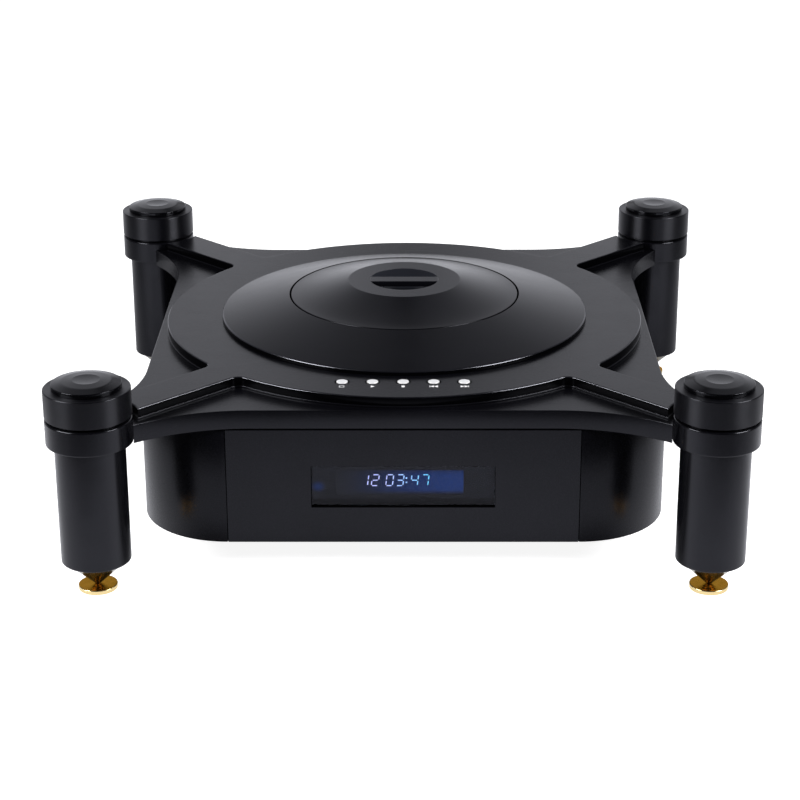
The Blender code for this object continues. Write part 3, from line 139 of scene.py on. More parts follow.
# Decks
DECK_HALF = 0.1747
LOWER_LOW = 0.1014
LOWER_HIGH = 0.1142
LOWER_EDGE = 0.0006
BAY_RADIUS = 0.0950
SWEEP_START = 0.0990
SWEEP_RADIUS = 0.1200
SWEEP_TIP = 0.0002
UPPER_LOW = 0.1145
UPPER_HIGH = 0.1215
UPPER_EDGE = 0.0008
UPPER_RIM_BAND = 0.0015
UPPER_RADIUS = 0.1700
DECK_LIP = 0.0005
LIP_EDGE_SHARE = 0.8
WELL_HOLE = 0.0700
ARM_HALF = 0.0142
ARM_FILLET = 0.0070
ARM_SEAT = 0.0322

# Buttons and their marks
BUTTON_Y = -0.1413
BUTTON_PITCH = 0.0202
BUTTON_NAMES = ("open", "play", "stop", "previous", "next")
BUTTON_RADIUS = 0.0038
BUTTON_HOLE = 0.0050
BUTTON_CUT = (0.1120, 0.1230)
BUTTON_TOP = 0.1223
BUTTON_CROWN = 0.00008
BUTTON_CROWN_RADIUS = 0.0022
BUTTON_CROWN_EASE = 0.0020
BUTTON_SHOULDER = 0.0004
BUTTON_FLANGE = 0.0014
MARK_Y = -0.1499
MARK_HEIGHT = 0.0034
MARK_LINE = 0.00035
MARK_THICKNESS = 0.00006
OPEN_SHARE = 0.9
STOP_SHARES = (0.62, 0.85)
ARROW_SHARES = (-0.6, 0.9)
SKIP_STEP_SHARE = 1.3
SKIP_SHARES = (-0.75, 0.45, 1.12)

# Lid ring and lid
RING_LOW = 0.1218
RING_RIM = 0.0028
RING_RIM_BAND = 0.0014
RING_RADIUS = 0.1308
RING_BORE = 0.0780
LID_RADIUS = 0.0812
LID_SEAM = 0.0012
SEAM_HIGH = 0.1369
LID_HIGH = 0.1466
LID_FLAT = 0.0401
LID_FLARE = 1.25
LID_EDGE = 0.0030
LID_WALL = 0.0030
LID_UNDER = 0.1310
LID_INSIDE_MARGIN = 0.0005
STEM_HOLE_RADIUS = 0.0023
STEM_HOLE_DEPTH = 0.0027
RECESS_RADIUS = 0.0244
RECESS_FLOOR = 0.1346
BAR_HALF = 0.0053
BAR_THICKNESS = 0.0040
BAR_PLAY = 0.00003

# Body
BODY_LOW = 0.0205
BODY_HIGH = 0.1005
BODY_X = 0.1165
BODY_Y = 0.1142
BODY_RADIUS = 0.0605
BODY_EDGE = 0.0003
SHELL_WALL = 0.0060
POST_RADIUS = 0.0060
POST_SINK = 0.0030
PANEL_HALF = 0.1160
PANEL_BACK = 0.1680
TAB_FACE = 0.1677
TAB_THICKNESS = 0.0040
TAB_WIDTH = 0.0160
BOTTOM_HIGH = BODY_LOW - GAP
BOTTOM_LOW = BOTTOM_HIGH - 0.0016
BOTTOM_INSET = 0.0050
VENT_ROWS = 9
VENT_FIRST_Y = -0.0320
VENT_PITCH = 0.0080
VENT_RADIUS = 0.0015
VENT_ENDS = (0.0200, 0.0600)
STANDOFF_XS = (0.0010, 0.1390)
STANDOFF_YS = (-0.0040, 0.0840)
STANDOFF_RADIUS = 0.0030
STANDOFF_HEIGHT = 0.0098
STANDOFF_SINK = 0.0015

# Window and display
WINDOW_HALF = 0.0605
WINDOW_LOW = 0.0456
WINDOW_HIGH = 0.0748
GLASS_RECESS = 0.0022
GLASS_FACE = 0.1677
GLASS_BACK = 0.1657
GLASS_MARGIN = 0.0030
DISPLAY_FACE = 0.1654
DISPLAY_HALF = 0.0450
DISPLAY_LOW = 0.0472
DISPLAY_HIGH = 0.0732
DISPLAY_DEPTH = 0.0066
DISPLAY_BOARD_MARGINS = (0.0080, 0.0040)
DISPLAY_BOARD_THICKNESS = 0.0012
MASK_LIFTS = (0.00005, 0.00020)
MASK_LOW_LEFT = (-0.0444, 0.0512)
MASK_HIGH_RIGHT = (0.0397, 0.0690)
LAMP_PLACE = (-0.0562, 0.0575)
LAMP_REACH = (0.0058, 0.0048)
LAMP_LEVEL = 0.22
GLOW_ACROSS = (-0.0440, 0.0300)
GLOW_FOOT = (0.0515, 0.0556)
GLOW_TOP = (0.0650, 0.0690)
GLOW_TOP_LEVEL = 0.6
GLOW_LEVEL = 0.425
CLOCK = "12 03:47"
DIGIT_LEFT = -0.0280
DIGIT_LOW = 0.0580
DIGIT_WIDTH = 0.0044
DIGIT_HEIGHT = 0.0078
DIGIT_STROKE = 0.0007
DIGIT_PITCH = 0.0069
DIGIT_THICKNESS = 0.00006
DIGIT_LEAN = math.radians(7)
DIGIT_GAP_SHARE = 0.35
SPACE_SHARE = 0.38
COLON_SHARES = (0.3, 0.7)
COLON_HALF = 0.0005
COLON_SHIFT = -0.0001
DIGIT_TINTED = (-0.0120, 0.0160)
DIGIT_LEVEL = 1.9
SEGMENTS = {
    "0": "abcdef",
    "1": "bc",
    "2": "abged",
    "3": "abgcd",
    "4": "fgbc",
    "5": "afgcd",
    "6": "afgedc",
    "7": "abc",
    "8": "abcdefg",
    "9": "abcdfg",
}

# Rear panel, inlet and switch, with X as seen from behind
SOCKET_LEVEL = 0.0625
REAR_SCREW_X = 0.1080
REAR_SCREW_MARGIN = 0.0090
REAR_SCREW_HOLE = 0.0017
REAR_SCREW_RADIUS = 0.0030
BOTTOM_SCREW_PLACE = 0.1050
BOTTOM_SCREW_RADIUS = 0.0032
SCREW_HEAD = 0.0018
SOCKET_SHARES = (0.55, 0.4)
SOCKET_FLOOR_SHARE = 0.7
SCREW_EDGE_SHARE = 0.12
INLET_X = 0.0850
INLET_HALF = (0.0140, 0.0100)
INLET_FLANGE = 0.0040
INLET_FLANGE_THICKNESS = 0.0030
INLET_DEPTH = 0.0190
CAVITY_HALF = (0.0110, 0.0070)
CAVITY_CORNER = 0.0040
CAVITY_DEPTH = 0.0140
BLADE_PLACES = ((-0.0070, -0.0010), (0, 0.0030), (0.0070, -0.0010))
BLADE_HALF = (0.0010, 0.0022)
BLADE_SINK = 0.0010
SWITCH_X = 0.0450
SWITCH_HALF = (0.0084, 0.0102)
SWITCH_WALL = 0.0020
SWITCH_FLANGE_THICKNESS = 0.0015
SWITCH_CAVITY_DEPTH = 0.0100
SWITCH_DEPTH = 0.0135
ROCKER_HALF = 0.0060
ROCKER_RADIUS = 0.0065
ROCKER_CREST = 0.0078
ROCKER_DISH = 0.0035
ROCKER_TILT = math.radians(10)
ROCKER_LIFT = math.radians(40)
ROCKER_PIVOT_Y = 0.1717

# Output jacks, with X in the scene's own direction
JACK_XS = (0.0360, 0.0600, 0.0840)
JACK_RADIUS = 0.0042
JACK_BORE = 0.0034
JACK_DEPTH = 0.0085
JACK_END = DECK_HALF + 0.0100
JACK_PLATE_MARGIN = 0.0100
JACK_PLATE_HALF = 0.0120
JACK_PLATE_THICKNESS = 0.0080
CORE_BORE = 0.0016
CORE_DEPTH = 0.0080
CORE_SINK = 0.0002
PIN_BORE = 0.0011
PIN_DEPTH = 0.0090
PIN_SINK = 0.0012
NUT_RADIUS = 0.0065
NUT_THICKNESS = 0.0020

# Disc well, turntable and clamp
WELL_BORE = 0.0660
WELL_RADIUS = 0.0680
WELL_FLANGE_RADIUS = 0.0755
WELL_FLANGE_THICKNESS = 0.0015
WELL_LOW = 0.1130
WELL_FLOOR = 0.1150
WELL_CORNER = 0.0010
DISC_STEP_RADIUS = 0.0610
DISC_STEP = 0.0004
SHAFT_HOLE = 0.0040
SLOT_LOW = (0.0180, -0.0075, 0.1100)
SLOT_HIGH = (0.0655, 0.0075, 0.1200)
HUB_HIGH = 0.1218
HUB_TIP_RADIUS = 0.0040
HUB_RIM = 0.1204
HUB_RADIUS = 0.0072
TABLE_HIGH = 0.1190
TABLE_LOW = 0.1165
TABLE_RADIUS = 0.0160
MAT_INNER = 0.0100
MAT_OUTER = 0.0156
SHAFT_RADIUS = 0.0015
SHAFT_LOW = 0.0983
PUCK_HIGH = 0.1299
PUCK_LOW = 0.1193
PUCK_RADIUS = 0.0165
PUCK_BORE = 0.0044
PUCK_HOLLOW_RADIUS = 0.0079
PUCK_HOLLOW_HIGH = 0.1269
STEM_HIGH = 0.1334
STEM_THREAD_RADIUS = 0.0020
STEM_SHOULDER = 0.1307
STEM_RADIUS = 0.0040
STEM_HEAD_HIGH = 0.1251
STEM_HEAD_RADIUS = 0.0068
STEM_LOW = 0.1231

# Disc drive under the well
MOTOR_LOW = 0.0947
MOTOR_HIGH = 0.1067
MOTOR_RADIUS = 0.0120
MOTOR_BORE = 0.0018
MOTOR_BORE_LOW = 0.0980
ROD_START = 0.0143
ROD_LENGTH = 0.0584
ROD_RADIUS = 0.0015
ROD_Y = 0.0180
ROD_LEVEL = 0.1023
THREAD_TURNS = 45
THREAD_RADIUS = 0.0020
THREAD_END_RADIUS = 0.0019
THREAD_ROOT = 0.0017
THREAD_LEAN = 0.0006
THREAD_MARGIN = 0.0020
THREAD_START_SHARE = 0.2
THREAD_ROOT_SHARE = 0.35
THREAD_CREST_SHARE = 0.7
SCREW_END_RADIUS = 0.0010
SCREW_END_LENGTH = 0.0063
SLED_MOTOR_X = 0.0730
SLED_MOTOR_RADIUS = 0.0060
SLED_MOTOR_LENGTH = 0.0150
SLED_MOTOR_BORE = 0.0013
CARRIAGE_LOW = (0.0180, -0.0230, 0.0983)
CARRIAGE_HIGH = (0.0340, 0.0230, 0.1063)
TURRET_LOW = (0.0190, -0.0060, 0.1050)
TURRET_HIGH = (0.0290, 0.0060, 0.1160)
TURRET_EDGE = 0.0007
LENS_X = 0.0230
LENS_RADIUS = 0.0022
LENS_DOME_RADIUS = 0.0010
LENS_DOME_EASE = 0.0010
LENS_LOW = 0.1158
LENS_RIM = 0.1165
LENS_DOME = 0.1171
LENS_HIGH = 0.1173
LENS_RING_RADIUS = 0.0035
LENS_RING_LOW = 0.1155
LENS_RING_HIGH = 0.1170

# Transformer
TRANSFORMER_PLACE = (-0.0900, 0.0600, 0)
TRANSFORMER_RADIUS = 0.0420
TRANSFORMER_BORE = 0.0120
TRANSFORMER_LOW = 0.0208
TRANSFORMER_HIGH = 0.0585
TRANSFORMER_EDGE = 0.0100
TRANSFORMER_BORE_EDGE = 0.0040
TAPE_TURNS = 46.0

# Studio
DAYLIGHT = (0.92, 0.93, 1.0)
FLOOR_SIZE = 6
FLOOR_PALE = (0.80, 0.80, 0.80)
FLOOR_PALER = (0.82, 0.82, 0.82)
FLOOR_MIRRORED = 0.95
FLOOR_SEEN = 0.90
FLOOR_BOUNCED = 0.2
FLOOR_FADE = (0.34, 0.62)
FLOOR_WIDER = 0.78
FLOOR_MIDDLE = (-0.05, 0.15)
FLOOR_MIDDLE_LEVEL = 0.5
FLOOR_REAR = (0.25, 0.80)
SHADE_SIDES = (0.13, 0.19)
SHADE_FRONT = (-0.23, -0.18)
SHADE_REAR = (0.30, 0.42)
SHADE_DEPTH = 0.9
WORLD_LEVEL = 2.3
WORLD_STOPS = ((0.0, 0.02), (0.45, 0.03), (0.62, 0.06), (0.75, 0.14), (0.86, 0.34), (0.93, 0.58), (1.0, 1.0))
WORLD_SIDES = ((0.0, 0.04), (0.045, 0.33), (0.09, 0.44), (0.25, 0.46), (0.45, 0.54), (1.0, 0.50))
SOFTBOXES = {"softbox_left": (-1.10, -0.60, 0.80), "softbox_right": (1.10, -0.60, 0.80)}
SOFTBOX_TARGET = (0, -0.1, 0.1)
SOFTBOX_SIZE = (0.70, 0.50)
SOFTBOX_POWER = 21.0

# Camera: a focal length in pixels of a picture 800 pixels wide, its place and how it is turned
PICTURE_WIDTH = 800.0
FOCAL_PIXELS = 2135.0
SENSOR_WIDTH = 36.0
CAMERA_NEAR = 0.05
CAMERA_PLACE = (0.008428, -1.458999, 0.624194)
CAMERA_PAN = math.radians(0.46)
CAMERA_TILT = math.radians(90 - 21.37)
CAMERA_ROLL = math.radians(-0.19)

# Patterns, as scales per metre, and the share of a board track that is a gap
BLAST_GRAIN = 2600.0
METAL_CLOUDS = 14.0
HANDLING_MARKS = (55.0, 90.0, 70.0)
TURNING_LINES = 2600.0
TURNED_CLOUDS = 22.0
TURNED_SMEARS = 60.0
POLISH_LINES = (300.0, 300.0, 5000.0)
TARNISH_PATCHES = 180.0
MOULD_GRAIN = 1800.0
FLOW_MARKS = 40.0
RUBBER_GRAIN = 2600.0
BRUSH_LINES = (900.0, 900.0, 40.0)
GLASS_DUST = 500.0
PRINT_GRAIN = 900.0
DISPLAY_GRID = (700.0, 1.0, 500.0)
DIGIT_FLICKER = 700.0
LENS_CLOUDS = 220.0
LENS_SMEARS = 900.0
TAPE_SMEARS = 300.0
BOARD_TRACKS = 260.0
BOARD_TRACK_GAP = 0.03
BOARD_SMEARS = 700.0
FLOOR_SPECKS = 30.0

# How deep the relief of a pattern is
BLAST_DEPTH = 0.00004
TURNING_DEPTH = 0.00003
POLISH_DEPTH = 0.00002
MOULD_DEPTH = 0.00005
TAPE_DEPTH = 0.0004

# Which part of a noise's values a pattern spreads over its whole range
MIDDLE = (0.35, 0.65)
MARKED = (0.35, 0.68)
FLOWING = (0.35, 0.7)
DUSTY = (0.4, 0.7)
TARNISHED = (0.42, 0.7)
MOST = (0.3, 0.7)

# Tints
WHITE = (1.0, 1.0, 1.0)
COOL = (0.88, 0.89, 1.0, 1.0)
BLACK = (0.0022, 0.0022, 0.0032)
SMOKE = (0.52, 0.55, 0.62)
DUSTY_SMOKE = (0.48, 0.51, 0.58)
PRINT_BLACK = (0.0030, 0.0030, 0.0036)
GLASS_BLACK = (0.004, 0.005, 0.010)
LAMP_BLUE = (0.02, 0.12, 0.55)
GLOW_BLUE = (0.0, 0.075, 0.42)
DIGIT_VIOLET = (0.60, 0.62, 1.0)
DIGIT_CYAN = (0.20, 0.72, 1.0)
LENS_BLUE = (0.02, 0.05, 0.22)
LENS_VIOLET = (0.10, 0.03, 0.20)
TAPE_AMBER = (0.42, 0.30, 0.05)
TAPE_YELLOW = (0.62, 0.47, 0.10)
BOARD_GREENS = {"Color1": (0.010, 0.090, 0.045), "Color2": (0.013, 0.105, 0.05), "Mortar": (0.03, 0.17, 0.08)}


def arc(centre, radius, start, end, steps):
    """Points along an arc, both ends included."""
    return [
        (
            centre[0] + radius * math.cos(start + (end - start) * i / steps),
            centre[1] + radius * math.sin(start + (end - start) * i / steps),
        )
        for i in range(steps + 1)
    ]


def rotated(points, angle):
    """The points turned about the origin."""
    cos, sin = math.cos(angle), math.sin(angle)
    return [(x * cos - y * sin, x * sin + y * cos) for x, y in points]


def circle(centre, radius, sides):
    """A closed ring of points."""
    return arc(centre, radius, 0, 2 * math.pi, sides)[:-1]


def rectangle(low, high):
    """A closed rectangle from its two corners."""
    return [low, (high[0], low[1]), high, (low[0], high[1])]


def eased(corners, closed=False):
    """A profile of (radius, height, easing) corners, rounded by arcs with a held point on both sides."""
    count = len(corners)
    points = []
    for i, (x, y, ease) in enumerate(corners):
        here = Vector((x, y))
        if not ease or (not closed and i in (0, count - 1)):
            points.append(here)
            continue
        before = Vector(corners[i - 1][:2]) - here
        after = Vector(corners[(i + 1) % count][:2]) - here
        half = before.angle(after) / 2
        cut = ease / math.tan(half)
        before_way, after_way = before.normalized(), after.normalized()
        centre = here + (before_way + after_way).normalized() * ease / math.sin(half)
        start = here + before_way * cut - centre
        end = here + after_way * cut - centre
        turn = start.angle_signed(end)
        if before.length > HOLD_ROOM * cut:
            points.append(here + before_way * cut * HOLD_SHARE)
        for step in range(EASE_STEPS + 1):
            points.append(centre + Matrix.Rotation(-turn * step / EASE_STEPS, 2) @ start)
        if after.length > HOLD_ROOM * cut:
            points.append(here + after_way * cut * HOLD_SHARE)
    return points


def lathe(corners, sides=PILLAR_SIDES, place=(0, 0, 0), closed=False):
    """A mesh turned about Z from a profile of (radius, height, easing) corners."""
    bm = bmesh.new()
    verts = [bm.verts.new((x, 0, y)) for x, y in eased(corners, closed)]
    pairs = list(zip(verts, verts[1:]))
    if closed:
        pairs.append((verts[-1], verts[0]))
    edges = [bm.edges.new(pair) for pair in pairs]
    bmesh.ops.spin(
        bm,
        geom=verts + edges,
        cent=(0, 0, 0),
        axis=(0, 0, 1),
        dvec=(0, 0, 0),
        angle=2 * math.pi,
        steps=sides,
        use_merge=True,
        use_duplicate=False,
    )
    bmesh.ops.remove_doubles(bm, verts=bm.verts, dist=MERGE)
    bmesh.ops.translate(bm, verts=bm.verts, vec=place)
    bmesh.ops.recalc_face_normals(bm, faces=bm.faces)
    return bm


def flat_sheet(loops, level):
    """Flat faces between an outline and the holes in it."""
    bm = bmesh.new()
    for loop in loops:
        verts = [bm.verts.new((x, y, level)) for x, y in loop]
        for pair in zip(verts, verts[1:] + verts[:1]):
            bm.edges.new(pair)
    bmesh.ops.triangle_fill(bm, use_beauty=True, edges=bm.edges, normal=(0, 0, 1))
    return bm


def plate(loops, low, high, top_edge=0.0, bottom_edge=0.0):
    """A flat plate with rounded edges, from its outline and the outlines of its holes."""
    bm = flat_sheet(loops, low + bottom_edge)
    bottom = list(bm.faces)
    made = bmesh.ops.extrude_face_region(bm, geom=bottom)["geom"]
    lifted = [item for item in made if isinstance(item, bmesh.types.BMVert)]
    top = [item for item in made if isinstance(item, bmesh.types.BMFace)]
    rise = high - low - top_edge - bottom_edge
    bmesh.ops.translate(bm, verts=lifted, vec=(0, 0, rise))
    bmesh.ops.recalc_face_normals(bm, faces=bm.faces)
    for faces, edge in ((top, top_edge), (bottom, bottom_edge)):
        if edge:
            round_rim(bm, faces, edge)
    return bm


def round_rim(bm, faces, radius):
    """Rounds the rim of a flat region, and keeps the region flat with a narrow held band."""
    steps = RIM_STEPS if radius > CRISP else FINE_RIM_STEPS
    for step in range(steps):
        before, after = (math.pi / 2 * (step + i) / steps for i in (0, 1))
        bmesh.ops.inset_region(
            bm,
            faces=faces,
            thickness=radius * (math.cos(before) - math.cos(after)),
            depth=radius * (math.sin(after) - math.sin(before)),
            use_boundary=True,
            use_even_offset=True,
        )
    band = radius * RIM_HOLD_SHARE
    bmesh.ops.inset_region(bm, faces=faces, thickness=band, depth=0, use_boundary=True, use_even_offset=True)
    inside = set(faces)
    rim = [edge for edge in bm.edges if sum(face in inside for face in edge.link_faces) == 1]
    inner = {edge for face in faces for edge in face.edges} - set(rim)
    bmesh.ops.delete(bm, geom=faces, context="FACES_ONLY")
    bmesh.ops.delete(bm, geom=list(inner), context="EDGES")
    bmesh.ops.triangle_fill(bm, use_beauty=True, edges=rim, normal=(0, 0, 1))


def block(low, high, edge=0.0, segments=2):
    """A box between two corners with rounded edges."""
    low, high = Vector(low), Vector(high)
    bm = bmesh.new()
    bmesh.ops.create_cube(bm, size=1)
    bmesh.ops.scale(bm, vec=high - low, verts=bm.verts)
    bmesh.ops.translate(bm, vec=(low + high) / 2, verts=bm.verts)
    if edge:
        bmesh.ops.bevel(
            bm,
            geom=bm.edges[:],
            offset=edge,
            offset_type="OFFSET",
            segments=segments,
            profile=0.5,
            affect="EDGES",
            material=-1,
        )
    return bm


def stand_up(bm, back=False):
    """Turns a mesh made flat in X and Y so that its Y runs up Z, facing the front, or the rear."""
    bmesh.ops.rotate(bm, verts=bm.verts, cent=(0, 0, 0), matrix=Matrix.Rotation(math.pi / 2, 3, "X"))
    if back:
        bmesh.ops.rotate(bm, verts=bm.verts, cent=(0, 0, 0), matrix=Matrix.Rotation(math.pi, 3, "Z"))
    return bm


def turned_to(bm, axis, place):
    """Turns a mesh made along +Z so that it points along an axis, and moves it to its place."""
    turn = Vector((0, 0, 1)).rotation_difference(Vector(axis)).to_matrix()
    bmesh.ops.rotate(bm, verts=bm.verts, cent=(0, 0, 0), matrix=turn)
    bmesh.ops.translate(bm, verts=bm.verts, vec=place)
    return bm


def add(bm, other, slot=None):
    """Adds another mesh to bm, with its own material slot."""
    mesh = bpy.data.meshes.new("part")
    for face in other.faces if slot is not None else ():
        face.material_index = slot
    other.to_mesh(mesh)
    other.free()
    bm.from_mesh(mesh)
    bpy.data.meshes.remove(mesh)
    return bm


def piece(name, bm, body, slot, materials, *replaced, sharp=SHARP):
    """Makes the mesh an object that rides on a body and stands for CAD nodes."""
    bmesh.ops.remove_doubles(bm, verts=bm.verts, dist=MERGE)
    bmesh.ops.recalc_face_normals(bm, faces=bm.faces)
    mesh = bpy.data.meshes.new(name)
    bm.to_mesh(mesh)
    bm.free()
    mesh.shade_smooth()
    mesh.set_sharp_from_angle(angle=sharp)
    for material in materials if isinstance(materials, (list, tuple)) else [materials]:
        mesh.materials.append(material)
    obj = bpy.data.objects.new(name, mesh)
    bpy.context.scene.collection.objects.link(obj)
    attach(obj, body)
    if replaced:
        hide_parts(*replaced)
    return obj


def carve(obj, bm):
    """Cuts a mesh out of an object for good."""
    bmesh.ops.recalc_face_normals(bm, faces=bm.faces)
    mesh = bpy.data.meshes.new("cutter")
    bm.to_mesh(mesh)
    bm.free()
    cutter = bpy.data.objects.new("cutter", mesh)
    bpy.context.scene.collection.objects.link(cutter)
    modifier = obj.modifiers.new("cut", "BOOLEAN")
    modifier.operation = "DIFFERENCE"
    modifier.solver = "EXACT"
    modifier.object = cutter
    bpy.context.view_layer.update()
    graph = bpy.context.evaluated_depsgraph_get()
    result = bpy.data.meshes.new_from_object(obj.evaluated_get(graph))
    obj.modifiers.clear()
    obj.data = result
    bpy.data.objects.remove(cutter)


def paint(node, material):
    """Gives a CAD node its finish."""
    mesh = nodes[node].data
    mesh.materials.clear()
    mesh.materials.append(material)


def rgba(color):
    """A colour with its alpha."""
    return (*color, 1.0)


def shade(color, factor):
    """A darker or lighter shade of a colour."""
    return tuple(min(1.0, channel * factor) for channel in color)


class Nodes:
    """The node tree of a material or the world, and short calls that add nodes to it."""

    def __init__(self, owner):
        owner.use_nodes = True
        self.tree = owner.node_tree
        self.tree.nodes.clear()

    def node(self, kind, **inputs):
        """A new node with some of its inputs set or linked."""
        made = self.tree.nodes.new("ShaderNode" + kind)
        for key, value in inputs.items():
            self.feed(made.inputs[key.replace("_", " ")], value)
        return made

    def feed(self, socket, value):
        """Sets a socket's value, or links it when the value is a socket."""
        if isinstance(value, bpy.types.NodeSocket):
            self.tree.links.new(value, socket)
        else:
            socket.default_value = value

    def math(self, operation, *values):
        """One sum on numbers and sockets."""
        made = self.node("Math")
        made.operation = operation
        for socket, value in zip(made.inputs, values):
            self.feed(socket, value)
        return made.outputs[0]

    def times(self, first, *others):
        """The product of numbers and sockets."""
        for other in others:
            first = self.math("MULTIPLY", first, other)
        return first

    def reach(self, first, second):
        """The length of the way that goes so far along one axis and so far along another."""
        return self.math("SQRT", self.math("ADD", self.times(first, first), self.times(second, second)))

    def between(self, amount, low, high, first=0.0, last=1.0, smooth=False):
        """A number that goes from low to high as amount goes from first to last."""
        made = self.node("MapRange")
        made.interpolation_type = "SMOOTHSTEP" if smooth else "LINEAR"
        for socket, value in zip(made.inputs, (amount, first, last, low, high)):
            self.feed(socket, value)
        return made.outputs[0]

    def axes(self, vector):
        """The three numbers of a vector."""
        return self.node("SeparateXYZ", Vector=vector).outputs


class Finish(Nodes):
    """One procedural material: a Principled shader and short calls for its looks."""

    def __init__(self, name, **settings):
        self.material = bpy.data.materials.new(name)
        super().__init__(self.material)
        self.shader = self.node("BsdfPrincipled")
        self.node("OutputMaterial", Surface=self.shader.outputs[0])
        self.place = self.node("TexCoord").outputs["Object"]
        for socket, value in settings.items():
            self.set(socket.replace("_", " "), value)

    def set(self, socket, value):
        """Sets or links one of the shader's sockets."""
        self.feed(self.shader.inputs[socket], value)

    def noise(self, scale, detail, vector=None):
        """Cloudy noise over the object, or over a stretched copy of its coordinates."""
        return self.node("TexNoise", Scale=scale, Detail=detail, Vector=vector or self.place).outputs[0]

    def stretched(self, scale):
        """Object coordinates scaled apart, for brushed lines."""
        return self.node("Mapping", Scale=scale, Vector=self.place).outputs[0]

    def blend(self, amount, first, second):
        """A colour between two colours."""
        made = self.node("Mix")
        made.data_type = "RGBA"
        self.feed(made.inputs["Factor"], amount)
        for socket, color in zip(made.inputs[6:8], (first, second)):
            self.feed(socket, rgba(color) if isinstance(color, tuple) else color)
        return made.outputs[2]

    def color(self, amount, first, second, *spread):
        """Colours the surface between two colours as amount goes over its spread."""
        self.set("Base Color", self.blend(self.between(amount, 0, 1, *spread), first, second))

    def gloss(self, amount, low, high, *spread, base=None):
        """Makes the surface rougher from low to high as amount goes over its spread, on top of a base."""
        rough = self.between(amount, low, high, *spread)
        self.set("Roughness", rough if base is None else self.math("ADD", rough, base))

    def glow(self, color, strength):
        """Makes the surface give light."""
        self.set("Emission Color", color)
        self.set("Emission Strength", strength)

    def bump(self, height, strength, depth):
        """Fine relief."""
        self.set("Normal", self.node("Bump", Strength=strength, Distance=depth, Height=height).outputs[0])


def anodised(name, color, rough, ior=1.33, spread=0.05):
    """Satin anodised metal: a fine blasted grain, cloudy depth of colour and faint handling marks."""
    finish = Finish(name, IOR=ior, Specular_Tint=COOL)
    fine = finish.noise(BLAST_GRAIN, 2.0)
    marks = finish.noise(1.0, 4.0, finish.stretched(HANDLING_MARKS))
    finish.color(finish.noise(METAL_CLOUDS, 3.0), shade(color, 0.78), shade(color, 1.25), *MIDDLE)
    speck = finish.between(fine, -0.03, 0.03, *MOST)
    finish.gloss(marks, -spread, spread, *MARKED, base=finish.math("ADD", speck, rough))
    finish.bump(fine, 0.10, BLAST_DEPTH)
    return finish.material


def turned_metal(name, color, rough, ior=1.33, stretch=0.0, pillar=False, spread=0.03):
    """Turned and anodised metal: its gloss is drawn out across the fine lines round its axis."""
    finish = Finish(name, IOR=ior, Anisotropic=stretch, Specular_Tint=COOL)
    x, y, z = finish.axes(finish.place)
    if pillar:
        x, y = (finish.math("SUBTRACT", at, finish.times(finish.math("SIGN", at), PILLAR)) for at in (x, y))
    if stretch:
        around = finish.node("CombineXYZ", X=finish.times(y, -1.0), Y=x)
        across = finish.node("VectorMath")
        across.operation = "CROSS_PRODUCT"
        finish.feed(across.inputs[0], finish.node("NewGeometry").outputs["Normal"])
        finish.feed(across.inputs[1], around.outputs[0])
        finish.set("Tangent", across.outputs[0])
    line = finish.node("TexNoise", Scale=1.0, Detail=1.5)
    line.noise_dimensions = "1D"
    finish.feed(line.inputs["W"], finish.times(finish.math("ADD", finish.reach(x, y), z), TURNING_LINES))
    finish.color(finish.noise(TURNED_CLOUDS, 3.0), shade(color, 0.8), shade(color, 1.22), *MIDDLE)
    finish.gloss(finish.noise(TURNED_SMEARS, 3.0), -spread, spread, *MARKED, base=rough)
    finish.bump(line.outputs[0], 0.05, TURNING_DEPTH)
    return finish.material


def polished(name, color, rough, metallic=1.0, tone=0.85, edge=WHITE):
    """Bright metal with faint turning lines and thin patches of tarnish."""
    finish = Finish(name, Metallic=metallic, IOR=1.45, Specular_Tint=rgba(edge))
    lines = finish.noise(1.0, 2.0, finish.stretched(POLISH_LINES))
    finish.color(finish.noise(TARNISH_PATCHES, 4.0), color, shade(color, tone), *TARNISHED)
    finish.gloss(lines, -0.03, 0.05, *MOST, base=rough)
    finish.bump(lines, 0.06, POLISH_DEPTH)
    return finish.material


def moulded(name, color, rough, grain=MOULD_GRAIN, strength=0.15, ior=1.47):
    """Moulded plastic with a fine spark grain and slight flow marks."""
    finish = Finish(name, IOR=ior)
    fine = finish.noise(grain, 3.0)
    finish.color(finish.noise(FLOW_MARKS, 2.0), color, shade(color, 1.4), *FLOWING)
    finish.gloss(fine, rough - 0.06, rough + 0.08, *MOST)
    finish.bump(fine, strength, MOULD_DEPTH)
    return finish.material


def brushed(name, color, rough, scale):
    """Brushed metal, its lines along one axis."""
    finish = Finish(name, Metallic=1.0)
    lines = finish.noise(1.0, 3.0, finish.stretched(scale))
    finish.color(lines, shade(color, 0.85), color, *MOST)
    finish.gloss(lines, rough - 0.05, rough + 0.1, *MOST)
    finish.bump(lines, 0.12, TURNING_DEPTH)
    return finish.material


